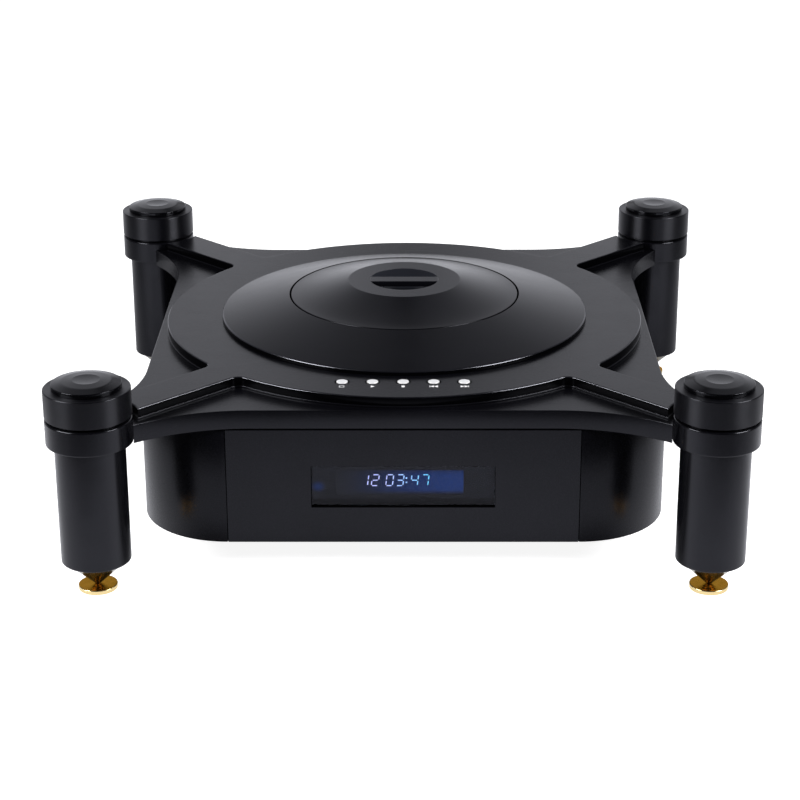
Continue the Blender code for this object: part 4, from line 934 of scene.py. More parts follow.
# Finishes
deck_black = anodised("deck_black", BLACK, 0.25, spread=0.012)
# Painted shade: a darker, duller copy of the deck's black for upright sides
painted_shade_side_black = anodised("painted_shade_side_black", (0.0008, 0.0008, 0.0011), 0.22, ior=1.14, spread=0.02)
# Painted highlight: a lighter, glossier copy of the deck's black, so the lip shows a light line
painted_highlight_lip_black = anodised("painted_highlight_lip_black", (0.0032, 0.0032, 0.0044), 0.20, spread=0.02)
# Painted highlight: a lighter, more reflective copy of the black for rounded top edges
painted_highlight_rim_black = anodised("painted_highlight_rim_black", (0.0040, 0.0040, 0.0056), 0.19, ior=1.75, spread=0.02)
# Painted shade: a near black, barely reflecting finish for the lid's seam, the window's opening and the
# buttons' sides under the deck
painted_shade_black = moulded("painted_shade_black", (0.0008, 0.0008, 0.0010), 0.7, strength=0.05, ior=1.05)
body_black = anodised("body_black", BLACK, 0.27, spread=0.012)
shell_black = anodised("shell_black", BLACK, 0.27, ior=1.28, spread=0.012)
# Painted light: a much lighter copy of the lid's black for the finger recess
recess_painted_light_black = anodised("recess_painted_light_black", (0.0200, 0.0215, 0.0280), 0.34, spread=0.02)
lid_black = turned_metal("lid_black", BLACK, 0.22, spread=0.012)
lid_top = turned_metal("lid_top", BLACK, 0.22, ior=1.55, spread=0.012)
pillar_black = turned_metal("pillar_black", (0.0020, 0.0020, 0.0028), 0.21, 1.40, stretch=0.84, pillar=True)
cap_black = turned_metal("cap_black", (0.0018, 0.0018, 0.0026), 0.36, 1.41, stretch=0.86, pillar=True)
gloss_black = turned_metal("gloss_black", (0.0015, 0.0015, 0.0020), 0.15, ior=1.36, pillar=True)
brass = polished("polished_brass", (0.30, 0.28, 0.21), 0.13, tone=0.97)
shoe_brass = polished("shoe_brass", (0.86, 0.68, 0.34), 0.16, tone=0.95)
# Painted shade: a darker copy of the shoe's brass for its flat faces under the spike
shoe_top_painted_shade = polished("shoe_top_painted_shade", (0.42, 0.23, 0.05), 0.26, edge=(1.0, 0.70, 0.36))
silver = polished("button_silver", (0.96, 0.96, 0.97), 0.38, metallic=0.35, tone=0.96)
steel = brushed("drive_steel", (0.55, 0.55, 0.57), 0.28, BRUSH_LINES)
zinc = anodised("zinc_plate", (0.42, 0.42, 0.43), 0.42, ior=1.5)
black_plastic = moulded("black_plastic", (0.012, 0.012, 0.012), 0.42)
well_plastic = moulded("well_plastic", (0.014, 0.014, 0.015), 0.38)
rubber = moulded("hub_rubber", (0.010, 0.010, 0.010), 0.62, RUBBER_GRAIN, 0.25)
gold = polished("jack_gold", (0.93, 0.68, 0.26), 0.16)
white_ring = moulded("white_insulator", (0.75, 0.75, 0.72), 0.35)
red_ring = moulded("red_insulator", (0.55, 0.02, 0.02), 0.35)
print_white = moulded("print_white", (0.95, 0.95, 0.97), 0.5)
screw_black = polished("screw_black", (0.035, 0.035, 0.038), 0.28, metallic=0.6)
nickel = polished("contact_nickel", (0.66, 0.65, 0.62), 0.22)
board_green = moulded("display_board", (0.010, 0.05, 0.03), 0.45)


def pillars():
    """The turned pieces of the four pillars, from the floor up."""
    spike_high = LEG_LOW - GAP
    spigot_high = LEG_HIGH + SPIGOT_LENGTH
    spigot_low = COLLAR_HIGH - SPIGOT_LENGTH
    stud_hole = SPIKE_STUD_RADIUS + GAP
    stud_hole_high = LEG_LOW + SPIKE_STUD_LENGTH + GAP
    socket = SPIGOT_RADIUS + GAP
    socket_depth = SPIGOT_LENGTH + GAP
    peg_hole = PEG_RADIUS + GAP
    peg_low = CAP_HIGH - PEG_SINK
    profiles = {
        "spike_shoe": (
            [
                (0, SHOE_TOP - DIMPLE_DEPTH, 0),
                (DIMPLE_RADIUS, SHOE_TOP, KEEN),
                (SHOE_RADIUS, SHOE_TOP, SOFT),
                (SHOE_RADIUS, 0, BROKEN),
                (0, 0, 0),
            ],
            [shoe_brass, shoe_top_painted_shade],
            "spike_brass",
        ),
        "spike": (
            [
                (0, LEG_LOW + SPIKE_STUD_LENGTH, 0),
                (SPIKE_STUD_RADIUS, LEG_LOW + SPIKE_STUD_LENGTH, CRISP),
                (SPIKE_STUD_RADIUS, spike_high, 0),
                (SPIKE_RADIUS, spike_high, HAIR),
                (SPIKE_RADIUS, spike_high - SPIKE_RIM, HAIR),
                (SPIKE_TIP_RADIUS, SPIKE_TIP, KEEN),
                (0, SPIKE_TIP, 0),
            ],
            brass,
            "spike_brass",
        ),
        "leg": (
            [
                (0, spigot_high, 0),
                (SPIGOT_RADIUS, spigot_high, CRISP),
                (SPIGOT_RADIUS, LEG_HIGH, 0),
                (LEG_RADIUS, LEG_HIGH, BROKEN),
                (LEG_RADIUS, LEG_LOW, LEG_FOOT_EDGE),
                (stud_hole, LEG_LOW, 0),
                (stud_hole, stud_hole_high, 0),
                (0, stud_hole_high, 0),
            ],
            pillar_black,
            "pillar_metal",
        ),
        "collar": (
            [
                (0, COLLAR_HIGH - socket_depth, 0),
                (socket, COLLAR_HIGH - socket_depth, 0),
                (socket, COLLAR_HIGH, 0),
                (COLLAR_RADIUS, COLLAR_HIGH, ROUND),
                (COLLAR_RADIUS, COLLAR_LOW, ROUND),
                (socket, COLLAR_LOW, 0),
                (socket, COLLAR_LOW + socket_depth, 0),
                (0, COLLAR_LOW + socket_depth, 0),
            ],
            pillar_black,
            "pillar_metal",
        ),
        "cap": (
            [
                (0, peg_low - GAP, 0),
                (peg_hole, peg_low - GAP, 0),
                (peg_hole, CAP_HIGH, 0),
                (COLLAR_RADIUS, CAP_HIGH, EASED),
                (COLLAR_RADIUS, CAP_LOW, CRISP),
                (GROOVE_RADIUS, CAP_LOW, 0),
                (GROOVE_RADIUS, COLLAR_HIGH + GAP, 0),
                (SPIGOT_RADIUS, COLLAR_HIGH + GAP, 0),
                (SPIGOT_RADIUS, spigot_low, 0),
                (0, spigot_low, 0),
            ],
            cap_black,
            "pillar_metal",
        ),
        "cap_disc": (
            [
                (0, CAP_DISC_HIGH - DISH_DEPTH, 0),
                (DISH_RADIUS, CAP_DISC_HIGH, EASED),
                (CROWN_RADIUS, CAP_DISC_RIM + CROWN_RISE, CROWN_EASE),
                (CAP_DISC_RADIUS, CAP_DISC_RIM, BROKEN),
                (CAP_DISC_RADIUS, CAP_DISC_LOW, KEEN),
                (PEG_RADIUS, CAP_DISC_LOW, 0),
                (PEG_RADIUS, peg_low, 0),
                (0, peg_low, 0),
            ],
            gloss_black,
            "polished_black",
        ),
    }
    for corner, (x, y) in CORNERS.items():
        for name, (profile, material, slot) in profiles.items():
            bm = lathe(profile, place=(x * PILLAR, y * PILLAR, 0))
            bm.normal_update()
            for face in bm.faces:
                # Painted shade: the shoe's flat faces take the darker brass
                face.material_index = int(name == "spike_shoe" and abs(face.normal.z) > SLOPED)
            if name == "collar":
                add(bm, arm_stud(x, y))
            piece(f"{name}_{corner}_fine", bm, "chassis", slot, material, f"{name}_{corner}")


def arm_stud(x, y):
    """The stud that reaches from a pillar's collar into the lower deck's arm."""
    inward = Vector((-x, -y, 0)).normalized()
    radius, length = ARM_STUD_RADIUS, ARM_STUD_LENGTH
    rod = lathe([(0, 0, 0), (radius, 0, 0), (radius, length, BROKEN), (0, length, 0)], STUD_SIDES)
    middle = Vector((x * PILLAR, y * PILLAR, (LOWER_LOW + LOWER_HIGH) / 2))
    return turned_to(rod, inward, middle + inward * ARM_STUD_START)


def sweep_corner():
    """One corner of the lower deck, from its right edge round the pillar's collar to its rear edge."""
    seat = COLLAR_RADIUS + COLLAR_PLAY
    centre = (DECK_HALF + SWEEP_RADIUS, SWEEP_START)
    across, rise = PILLAR - centre[0], PILLAR - centre[1]
    reach = math.hypot(across, rise)
    tip = seat + SWEEP_TIP
    back_off = math.acos((SWEEP_RADIUS**2 + reach**2 - tip**2) / (2 * SWEEP_RADIUS * reach))
    sweep = arc(centre, SWEEP_RADIUS, math.pi, math.atan2(rise, across) + back_off, SWEEP_STEPS)
    last = Vector(sweep[-1]) - Vector((PILLAR, PILLAR))
    first = math.atan2(last.y, last.x)
    span = 2 * (first + math.radians(135))
    scallop = arc((PILLAR, PILLAR), seat, first, first - span, SWEEP_STEPS // 2)
    return sweep + scallop + [(y, x) for x, y in reversed(sweep)]


def lower_deck():
    """The thick plate whose corners flare out to the pillars."""
    outline = []
    for quarter in range(4):
        outline += rotated(sweep_corner(), quarter * math.pi / 2)
    bay = circle((0, 0), BAY_RADIUS, BORE_SIDES)
    bm = plate([outline, bay], LOWER_LOW, LOWER_HIGH, LOWER_EDGE, LOWER_EDGE)
    piece("lower_deck_fine", bm, "chassis", "deck_metal", deck_black, "lower_deck")


def deck_outline(grow=0.0):
    """The upper deck in plan: a disc with four straight arms, filleted at their roots."""
    half, fillet_radius = ARM_HALF + grow, ARM_FILLET - grow
    root = math.sqrt((UPPER_RADIUS + ARM_FILLET) ** 2 - (ARM_HALF + ARM_FILLET) ** 2)
    start = math.atan2(ARM_HALF + ARM_FILLET, -root)
    fillet = arc((root, -ARM_HALF - ARM_FILLET), fillet_radius, start, math.pi / 2, FILLET_STEPS)
    spread = math.asin(half / ARM_SEAT)
    seat = (PILLAR * math.sqrt(2), 0)
    end = arc(seat, ARM_SEAT - grow, math.pi + spread, math.pi - spread, ARM_END_STEPS)
    arm = fillet + end + [(x, -y) for x, y in reversed(fillet)]
    first = math.atan2(arm[-1][1], arm[-1][0])
    outline = []
    for quarter in range(4):
        rim = arc((0, 0), UPPER_RADIUS + grow, first, math.pi / 2 - first, UPPER_RIM_STEPS)[1:-1]
        outline += rotated(arm + rim, math.radians(45 + 90 * quarter))
    return outline


def button_xs():
    """Where the buttons stand along the deck, from the left."""
    middle = (len(BUTTON_NAMES) - 1) / 2
    return [BUTTON_PITCH * (i - middle) for i in range(len(BUTTON_NAMES))]


def upper_deck():
    """The disc with four arms that lies on the lower deck, with a fine lip at its foot."""
    bore = circle((0, 0), WELL_HOLE, BORE_SIDES)
    bm = plate([deck_outline(), bore], UPPER_LOW, UPPER_HIGH, UPPER_EDGE, UPPER_EDGE / 4)
    bm.normal_update()
    for face in bm.faces:
        rise = abs(face.normal.z)
        # Painted shade: the upright sides take the darker copy of the deck's black
        if rise < STEEP:
            face.material_index = 1
        # Painted highlight: the rounding along the top edge takes the lighter copy of the black
        elif rise < NEARLY_FLAT and face.calc_center_median().z > UPPER_HIGH - UPPER_RIM_BAND:
            face.material_index = 2
    finishes = [deck_black, painted_shade_side_black, painted_highlight_rim_black]
    deck = piece("upper_deck_fine", bm, "chassis", "deck_metal", finishes, "upper_deck")
    foot = [deck_outline(DECK_LIP), bore]
    lip = plate(foot, UPPER_LOW, UPPER_LOW + 2 * DECK_LIP, DECK_LIP * LIP_EDGE_SHARE)
    # The lip is made in the lighter copy of the black as a painted highlight
    piece("upper_deck_lip", lip, "chassis", "deck_metal", painted_highlight_lip_black)
    low, high = BUTTON_CUT
    hole = [(0, low, 0), (BUTTON_HOLE, low, 0), (BUTTON_HOLE, high, 0), (0, high, 0)]
    holes = bmesh.new()
    for x in button_xs():
        add(holes, lathe(hole, SMALL_SIDES, (x, BUTTON_Y, 0)), 1)
    carve(deck, holes)


def buttons():
    """Five silver buttons that stand a little proud of the deck."""
    flange_high = UPPER_LOW - GAP
    flange_low = flange_high - BUTTON_FLANGE
    flange_radius = BUTTON_RADIUS + BUTTON_FLANGE
    profile = [
        (0, BUTTON_TOP, 0),
        (BUTTON_CROWN_RADIUS, BUTTON_TOP - BUTTON_CROWN, BUTTON_CROWN_EASE),
        (BUTTON_RADIUS, BUTTON_TOP - BUTTON_SHOULDER, CRISP),
        (BUTTON_RADIUS, UPPER_HIGH - NEAR, 0),
        (BUTTON_RADIUS, flange_high, 0),
        (flange_radius, flange_high, HAIR),
        (flange_radius, flange_low, HAIR),
        (0, flange_low, 0),
    ]
    finishes = [silver, painted_shade_black]
    for name, x in zip(BUTTON_NAMES, button_xs()):
        bm = lathe(profile, SMALL_SIDES, (x, BUTTON_Y, 0))
        for face in bm.faces:
            # Painted shade: each button's side below the deck's top takes the near black shade finish
            face.material_index = int(face.calc_center_median().z < UPPER_HIGH - NEAR)
        piece(f"button_{name}_fine", bm, f"key_{name}", "button_silver", finishes, f"button_{name}")


def mark_loops(name):
    """The flat outlines of one button's mark, centred on the origin."""
    half = MARK_HEIGHT / 2
    back, tip = (half * share for share in ARROW_SHARES)
    arrow = [(back, -half), (tip, 0), (back, half)]
    if name == "open":
        rise = half * OPEN_SHARE
        outer = rectangle((-half, -rise), (half, rise))
        inner = rectangle((-half + MARK_LINE, -rise + MARK_LINE), (half - MARK_LINE, rise - MARK_LINE))
        return [[outer, inner]]
    if name == "play":
        return [[arrow]]
    if name == "stop":
        across, rise = (half * share for share in STOP_SHARES)
        return [[rectangle((-across, -rise), (across, rise))]]
    *shifts, line = (half * SKIP_STEP_SHARE * share for share in SKIP_SHARES)
    loops = [[[(x + shift, y) for x, y in arrow]] for shift in shifts]
    loops.append([rectangle((line, -half), (line + MARK_LINE, half))])
    if name == "previous":
        loops = [[[(-x, y) for x, y in reversed(points)] for points in group] for group in loops]
    return loops


def button_marks():
    """Thin printed marks on the deck in front of the buttons."""
    bm = bmesh.new()
    for name, x in zip(BUTTON_NAMES, button_xs()):
        for loops in mark_loops(name):
            placed = [[(px + x, py + MARK_Y) for px, py in loop] for loop in loops]
            add(bm, plate(placed, UPPER_HIGH, UPPER_HIGH + MARK_THICKNESS))
    piece("button_marks", bm, "chassis", "button_silver", print_white)


def lid_slope(drop):
    """Points down the lid's flared cone from its flat top to its edge, some way below its surface."""
    points = []
    for i in range(SLOPE_STEPS + 1):
        share = i / SLOPE_STEPS
        fall = (LID_HIGH - SEAM_HIGH) * (1 - (1 - share) ** LID_FLARE)
        points.append((LID_FLAT + (LID_RADIUS - LID_FLAT) * share, LID_HIGH - fall - drop))
    return points


def lid_ring():
    """The shallow cone fixed on the deck, with the step that the lid sits on."""
    opening = LID_RADIUS + LID_SEAM
    step = SEAM_HIGH - LID_EDGE - GAP
    profile = [
        (opening, SEAM_HIGH, HAIR),
        (RING_RADIUS, RING_LOW + RING_RIM, FULL),
        (RING_RADIUS, RING_LOW, KEEN),
        (RING_BORE, RING_LOW, 0),
        (RING_BORE, step, CRISP),
        (opening, step, 0),
    ]
    bm = lathe(profile, RING_SIDES, closed=True)
    for face in bm.faces:
        out = face.calc_center_median().xy.length
        rise = abs(face.normal.z)
        # Painted shade: the seam's wall and the step inside the ring's opening take the near black shade
        # finish
        face.material_index = int(out < opening + NEAR / 2)
        # Painted shade: the rim's upright wall takes the darker copy of the black
        if out > RING_RADIUS - RING_RIM_BAND and rise < NEARLY_FLAT:
            # Painted highlight: the rim's rounding takes the lighter copy of the black
            face.material_index = 2 if rise < UPRIGHT else 3
    finishes = [lid_black, painted_shade_black, painted_shade_side_black, painted_highlight_rim_black]
    piece("lid_ring_fine", bm, "chassis", "lid_metal", finishes, "lid_ring")


def lid():
    """The lift-off lid with its finger recess and the bar across it."""
    cup = RECESS_RADIUS + LID_WALL
    edge_low = SEAM_HIGH - LID_EDGE
    inner_edge = RING_BORE - LID_WALL
    hole_high = LID_UNDER + STEM_HOLE_DEPTH
    inside = [(radius - LID_WALL, height, 0) for radius, height in reversed(lid_slope(LID_WALL))]
    slope = [(radius, height, 0) for radius, height in lid_slope(0)]
    slope[0] = (*slope[0][:2], FULL)
    slope[-1] = (*slope[-1][:2], SOFT)
    profile = [(0, RECESS_FLOOR, 0), (RECESS_RADIUS, RECESS_FLOOR, EASED), (RECESS_RADIUS, LID_HIGH, KEEN)]
    profile += slope
    profile += [(LID_RADIUS, edge_low, KEEN), (inner_edge, edge_low, KEEN)]
    profile += [at for at in inside if cup + LID_INSIDE_MARGIN < at[0] < inner_edge - LID_INSIDE_MARGIN]
    profile += [
        (cup, LID_HIGH - LID_WALL, 0),
        (cup, LID_UNDER, EASED),
        (STEM_HOLE_RADIUS, LID_UNDER, 0),
        (STEM_HOLE_RADIUS, hole_high, 0),
        (0, hole_high, 0),
    ]
    bm = lathe(profile, RING_SIDES)
    bm.normal_update()
    for face in bm.faces:
        middle = face.calc_center_median()
        # Painted light: the finger recess takes the lighter copy of the black
        if middle.xy.length < RECESS_RADIUS + NEAR and middle.z > LID_UNDER + LID_WALL:
            face.material_index = 1
        # Painted shade: the lid's upright edge in the seam takes the near black shade finish
        elif abs(face.normal.z) < UPRIGHT and middle.xy.length > LID_RADIUS - 2 * NEAR:
            face.material_index = 2
        elif face.normal.z > FLAT and middle.z > LID_HIGH - 2 * NEAR:
            face.material_index = 3
    reach = RECESS_RADIUS - BAR_PLAY
    swing = math.asin(BAR_HALF / reach)
    outline = []
    for way in (0, math.pi):
        outline += arc((0, 0), reach, way - swing, way + swing, BAR_END_STEPS)
    add(bm, plate([outline], LID_HIGH - BAR_THICKNESS, LID_HIGH, FINE, CRISP), 3)
    piece("lid_fine", bm, "lid", "lid_metal", [lid_black, recess_painted_light_black, painted_shade_black, lid_top], "lid")


def shell_outline():
    """The right side shell in plan, from the front seam round to the rear seam and back inside."""
    wall_radius = BODY_RADIUS - SHELL_WALL
    tab_end = BODY_X - TAB_WIDTH
    tab_back = TAB_FACE - TAB_THICKNESS
    meet = math.asin((tab_back - BODY_Y) / wall_radius)
    front, rear = (BODY_X, -BODY_Y), (BODY_X, BODY_Y)
    outside = arc(front, BODY_RADIUS, -math.pi / 2, 0, SHELL_STEPS)
    outside += arc(rear, BODY_RADIUS, 0, math.pi / 2, SHELL_STEPS)
    rear_tab = [(BODY_X, TAB_FACE), (tab_end, TAB_FACE), (tab_end, tab_back)]
    inside = arc(rear, wall_radius, meet, 0, SHELL_STEPS) + arc(front, wall_radius, 0, -meet, SHELL_STEPS)
    return outside + rear_tab + inside + [(x, -y) for x, y in reversed(rear_tab)]


def side_shells():
    """Two bent side walls with their screw posts."""
    outline = shell_outline()
    reach = (BODY_RADIUS - SHELL_WALL - POST_SINK) * math.sin(math.pi / 4)
    post = [
        (0, BODY_HIGH, 0),
        (POST_RADIUS, BODY_HIGH, CRISP),
        (POST_RADIUS, BODY_LOW, CRISP),
        (0, BODY_LOW, 0),
    ]
    for name, side in (("left", -1), ("right", 1)):
        points = outline if side > 0 else [(-x, y) for x, y in reversed(outline)]
        bm = plate([points], BODY_LOW, BODY_HIGH, BODY_EDGE, BODY_EDGE)
        for y in (-BODY_Y - reach, BODY_Y + reach):
            add(bm, lathe(post, PIN_SIDES, (side * (BODY_X + reach), y, 0)))
        piece(f"side_shell_{name}_fine", bm, "chassis", "body_metal", shell_black, f"side_shell_{name}")


def window_shape(grow):
    """The window's opening in the front panel, grown on every side."""
    low_left = (-WINDOW_HALF - grow, WINDOW_LOW - grow)
    return rectangle(low_left, (WINDOW_HALF + grow, WINDOW_HIGH + grow))


def front_panel():
    """The flat front with the window's opening."""
    outline = rectangle((-PANEL_HALF, BODY_LOW), (PANEL_HALF, BODY_HIGH))
    bm = plate([outline, window_shape(0)], PANEL_BACK, DECK_HALF, FINE, FINE)
    bm.normal_update()
    for face in bm.faces:
        middle = face.calc_center_median()
        beside = abs(middle.x) < WINDOW_HALF + NEAR and WINDOW_LOW - NEAR < middle.y < WINDOW_HIGH + NEAR
        # Painted shade: the sides of the window's opening take the near black shade finish
        face.material_index = int(beside and abs(face.normal.z) < UPRIGHT)
    piece("front_panel_fine", stand_up(bm), "chassis", "body_metal", [body_black, painted_shade_black], "front_panel")


def rear_shape(x, half, grow=0.0):
    """A rectangle about a place on the rear panel's row of sockets."""
    across, rise = half[0] + grow, half[1] + grow
    return rectangle((x - across, SOCKET_LEVEL - rise), (x + across, SOCKET_LEVEL + rise))


def rear_screws():
    """Places of the rear panel's screws."""
    levels = (BODY_LOW + REAR_SCREW_MARGIN, BODY_HIGH - REAR_SCREW_MARGIN)
    return [(x, z) for x in (-REAR_SCREW_X, REAR_SCREW_X) for z in levels]


def rear_panel():
    """The flat back with the cut-outs for the inlet, the switch and the jacks."""
    loops = [rectangle((-PANEL_HALF, BODY_LOW), (PANEL_HALF, BODY_HIGH))]
    loops += [rear_shape(INLET_X, INLET_HALF, GAP), rear_shape(SWITCH_X, SWITCH_HALF, GAP)]
    loops += [circle((-x, SOCKET_LEVEL), JACK_RADIUS + GAP, PIN_SIDES) for x in JACK_XS]
    loops += [circle(place, REAR_SCREW_HOLE, HOLE_SIDES) for place in rear_screws()]
    bm = plate(loops, PANEL_BACK, DECK_HALF, BODY_EDGE, KEEN)
    piece("rear_panel_fine", stand_up(bm, back=True), "chassis", "body_metal", body_black, "rear_panel")


def socket_screw(radius):
    """A cap screw's head with its hexagon socket, along +Z from its seat."""
    socket_share, floor_share = SOCKET_SHARES
    rims = [circle((0, 0), radius, PIN_SIDES), circle((0, 0), radius * socket_share, HEX_SIDES)]
    bm = plate(rims, 0, SCREW_HEAD, radius * SCREW_EDGE_SHARE)
    out, level = radius * SOCKET_FLOOR_SHARE, SCREW_HEAD * floor_share
    return add(bm, lathe([(0, level, 0), (out, level, 0), (out, 0, 0), (0, 0, 0)], STUD_SIDES))


def screws():
    """Cap screws in the rear panel and under the bottom plate."""
    bm = bmesh.new()
    for x, z in rear_screws():
        add(bm, turned_to(socket_screw(REAR_SCREW_RADIUS), (0, 1, 0), (x, DECK_HALF, z)))
    piece("rear_panel_screws", bm, "chassis", "pillar_metal", screw_black)
    bm = bmesh.new()
    for x in (-BOTTOM_SCREW_PLACE, BOTTOM_SCREW_PLACE):
        for y in (-BOTTOM_SCREW_PLACE, BOTTOM_SCREW_PLACE):
            add(bm, turned_to(socket_screw(BOTTOM_SCREW_RADIUS), (0, 0, -1), (x, y, BOTTOM_LOW)))
    piece("bottom_plate_screws", bm, "chassis", "pillar_metal", screw_black)


def bottom_plate():
    """The plate under the drum, with rows of vent slots and the stand-offs of the main board."""
    radius = BODY_RADIUS - BOTTOM_INSET
    right = arc((BODY_X, -BODY_Y), radius, -math.pi / 2, 0, BOTTOM_STEPS)
    right += arc((BODY_X, BODY_Y), radius, 0, math.pi / 2, BOTTOM_STEPS)
    loops = [right + [(-x, y) for x, y in reversed(right)]]
    quarter = math.pi / 2
    for side in (-1, 1):
        left_end, right_end = sorted(side * end for end in VENT_ENDS)
        for row in range(VENT_ROWS):
            y = VENT_FIRST_Y + row * VENT_PITCH
            vent = arc((right_end, y), VENT_RADIUS, -quarter, quarter, VENT_STEPS)
            loops.append(vent + arc((left_end, y), VENT_RADIUS, quarter, 3 * quarter, VENT_STEPS))
    bm = plate(loops, BOTTOM_LOW, BOTTOM_HIGH, KEEN, CRISP)
    post = [
        (0, STANDOFF_HEIGHT, 0),
        (STANDOFF_RADIUS, STANDOFF_HEIGHT, CRISP),
        (STANDOFF_RADIUS, 0, 0),
        (0, 0, 0),
    ]
    for x in STANDOFF_XS:
        for y in STANDOFF_YS:
            add(bm, lathe(post, STUD_SIDES, (x, y, BOTTOM_HIGH - STANDOFF_SINK)))
    piece("bottom_plate_fine", bm, "chassis", "body_metal", body_black, "bottom_plate")


def stepped_pane(back, raised):
    """A pane whose middle is raised into the window's opening."""
    bm = plate([back, raised], GLASS_BACK, GLASS_FACE)
    rims = []
    for level in (GLASS_FACE, GLASS_BACK):
        faces = {face for face in bm.faces if all(abs(v.co.z - level) < MERGE for v in face.verts)}
        edges = [edge for edge in bm.edges if sum(face in faces for face in edge.link_faces) == 1]
        rims.append([edge for edge in edges if all(abs(v.co.x) < WINDOW_HALF for v in edge.verts)])
    upright = [face for edge in rims[0] for face in edge.link_faces if abs(face.normal.z) < UPRIGHT]
    bmesh.ops.delete(bm, geom=list(set(upright)), context="FACES_ONLY")
    made = bmesh.ops.extrude_edge_only(bm, edges=rims[0])["geom"]
    lifted = {item for item in made if isinstance(item, bmesh.types.BMVert)}
    rise = DECK_HALF - GLASS_RECESS - GLASS_FACE
    bmesh.ops.translate(bm, verts=list(lifted), vec=(0, 0, rise))
    edges = [item for item in made if isinstance(item, bmesh.types.BMEdge)]
    front = [edge for edge in edges if all(v in lifted for v in edge.verts)]
    bmesh.ops.contextual_create(bm, geom=front)
    bmesh.ops.contextual_create(bm, geom=rims[1])
    bmesh.ops.recalc_face_normals(bm, faces=bm.faces)
    return stand_up(bm)


def window_glass():
    """The smoked pane in the window's opening, and the black print behind it."""
    smoke = Finish("smoked_glass", IOR=1.27, Transmission_Weight=1.0, Specular_Tint=COOL)
    dust = smoke.noise(GLASS_DUST, 3.0)
    smoke.color(dust, SMOKE, DUSTY_SMOKE, *DUSTY)
    smoke.gloss(dust, 0.02, 0.06, *DUSTY)
    bm = stepped_pane(window_shape(GLASS_MARGIN), window_shape(-GAP))
    piece("display_window_fine", bm, "chassis", "window_glass", smoke.material, "display_window")

    black = Finish("mask_black", IOR=1.15)
    grain = black.noise(PRINT_GRAIN, 3.0)
    black.color(grain, PRINT_BLACK, shade(PRINT_BLACK, 1.5), *MOST)
    black.gloss(grain, 0.5, 0.62, *MOST)
    black.bump(grain, 0.05, MOULD_DEPTH)
    x, _, z = black.axes(black.place)
    across = black.math("DIVIDE", black.math("SUBTRACT", x, LAMP_PLACE[0]), LAMP_REACH[0])
    upward = black.math("DIVIDE", black.math("SUBTRACT", z, LAMP_PLACE[1]), LAMP_REACH[1])
    fading = black.between(black.reach(across, upward), LAMP_LEVEL, 0.0, smooth=True)
    black.glow(rgba(LAMP_BLUE), fading)
    opening = rectangle(MASK_LOW_LEFT, MASK_HIGH_RIGHT)
    back, front = (DISPLAY_FACE + lift for lift in MASK_LIFTS)
    mask = plate([window_shape(GLASS_MARGIN / 2), opening], back, front)
    piece("window_mask", stand_up(mask), "chassis", "window_glass", black.material)


def digit_loops(character):
    """The lit bars of one seven bar digit, leaning a little to the right."""
    half, middle = DIGIT_STROKE / 2, DIGIT_HEIGHT / 2
    gap = DIGIT_STROKE * DIGIT_GAP_SHARE

    def level(y):
        return rectangle((half + gap, y - half), (DIGIT_WIDTH - half - gap, y + half))

    def upright(x, low, high):
        return rectangle((x - half, low + gap + half), (x + half, high - gap - half))

    bars = {
        "a": level(DIGIT_HEIGHT),
        "g": level(middle),
        "d": level(0),
        "f": upright(0, middle, DIGIT_HEIGHT),
        "b": upright(DIGIT_WIDTH, middle, DIGIT_HEIGHT),
        "e": upright(0, 0, middle),
        "c": upright(DIGIT_WIDTH, 0, middle),
    }
    lean = math.tan(DIGIT_LEAN)
    return [[(x + y * lean, y) for x, y in bars[bar]] for bar in SEGMENTS[character]]


def colon_loops():
    """The two dots of the colon."""
    levels = (share * DIGIT_HEIGHT for share in COLON_SHARES)
    left, right = COLON_SHIFT - COLON_HALF, COLON_SHIFT + COLON_HALF
    return [rectangle((left, level - COLON_HALF), (right, level + COLON_HALF)) for level in levels]


def display():
    """The display's glass block with its glow, on its board."""
    block_low = (-DISPLAY_HALF, -DISPLAY_FACE, DISPLAY_LOW)
    bm = block(block_low, (DISPLAY_HALF, -DISPLAY_FACE + DISPLAY_DEPTH, DISPLAY_HIGH), CRISP)
    across, rise = DISPLAY_BOARD_MARGINS
    half, face = DISPLAY_HALF + across, -DISPLAY_FACE + DISPLAY_DEPTH
    board_high = (half, face + DISPLAY_BOARD_THICKNESS, DISPLAY_HIGH + rise)
    add(bm, block((-half, face, DISPLAY_LOW - rise), board_high, HAIR), 1)
    finishes = [display_glow(), board_green]
    piece("display_module_fine", bm, "chassis", "display_glass", finishes, "display_module")

    face = DISPLAY_FACE + DIGIT_THICKNESS
    left = DIGIT_LEFT
    bm = bmesh.new()
    for character in CLOCK:
        loops, width = colon_loops() if character == ":" else [], DIGIT_PITCH * SPACE_SHARE
        if character in SEGMENTS:
            loops, width = digit_loops(character), DIGIT_PITCH
        for loop in loops:
            placed = [(px + left, py + DIGIT_LOW) for px, py in loop]
            add(bm, plate([placed], face, face + DIGIT_THICKNESS))
        left += width
    piece("display_digits", stand_up(bm), "chassis", "display_glass", digit_light())


def display_glow():
    """Dark glass with a blue glow that is stronger to the right and weaker at the top."""
    glass = Finish("display_glass", IOR=1.2, Roughness=0.2)
    x, _, z = glass.axes(glass.place)
    across = glass.between(x, 0.0, 1.0, *GLOW_ACROSS, smooth=True)
    low = glass.between(z, 0.0, 1.0, *GLOW_FOOT, smooth=True)
    high = glass.between(z, 1.0, GLOW_TOP_LEVEL, *GLOW_TOP, smooth=True)
    grid = glass.between(glass.noise(1.0, 1.0, glass.stretched(DISPLAY_GRID)), 0.8, 1.15, *MOST)
    glass.set("Base Color", rgba(GLASS_BLACK))
    glass.glow(rgba(GLOW_BLUE), glass.times(low, high, across, grid, GLOW_LEVEL))
    return glass.material


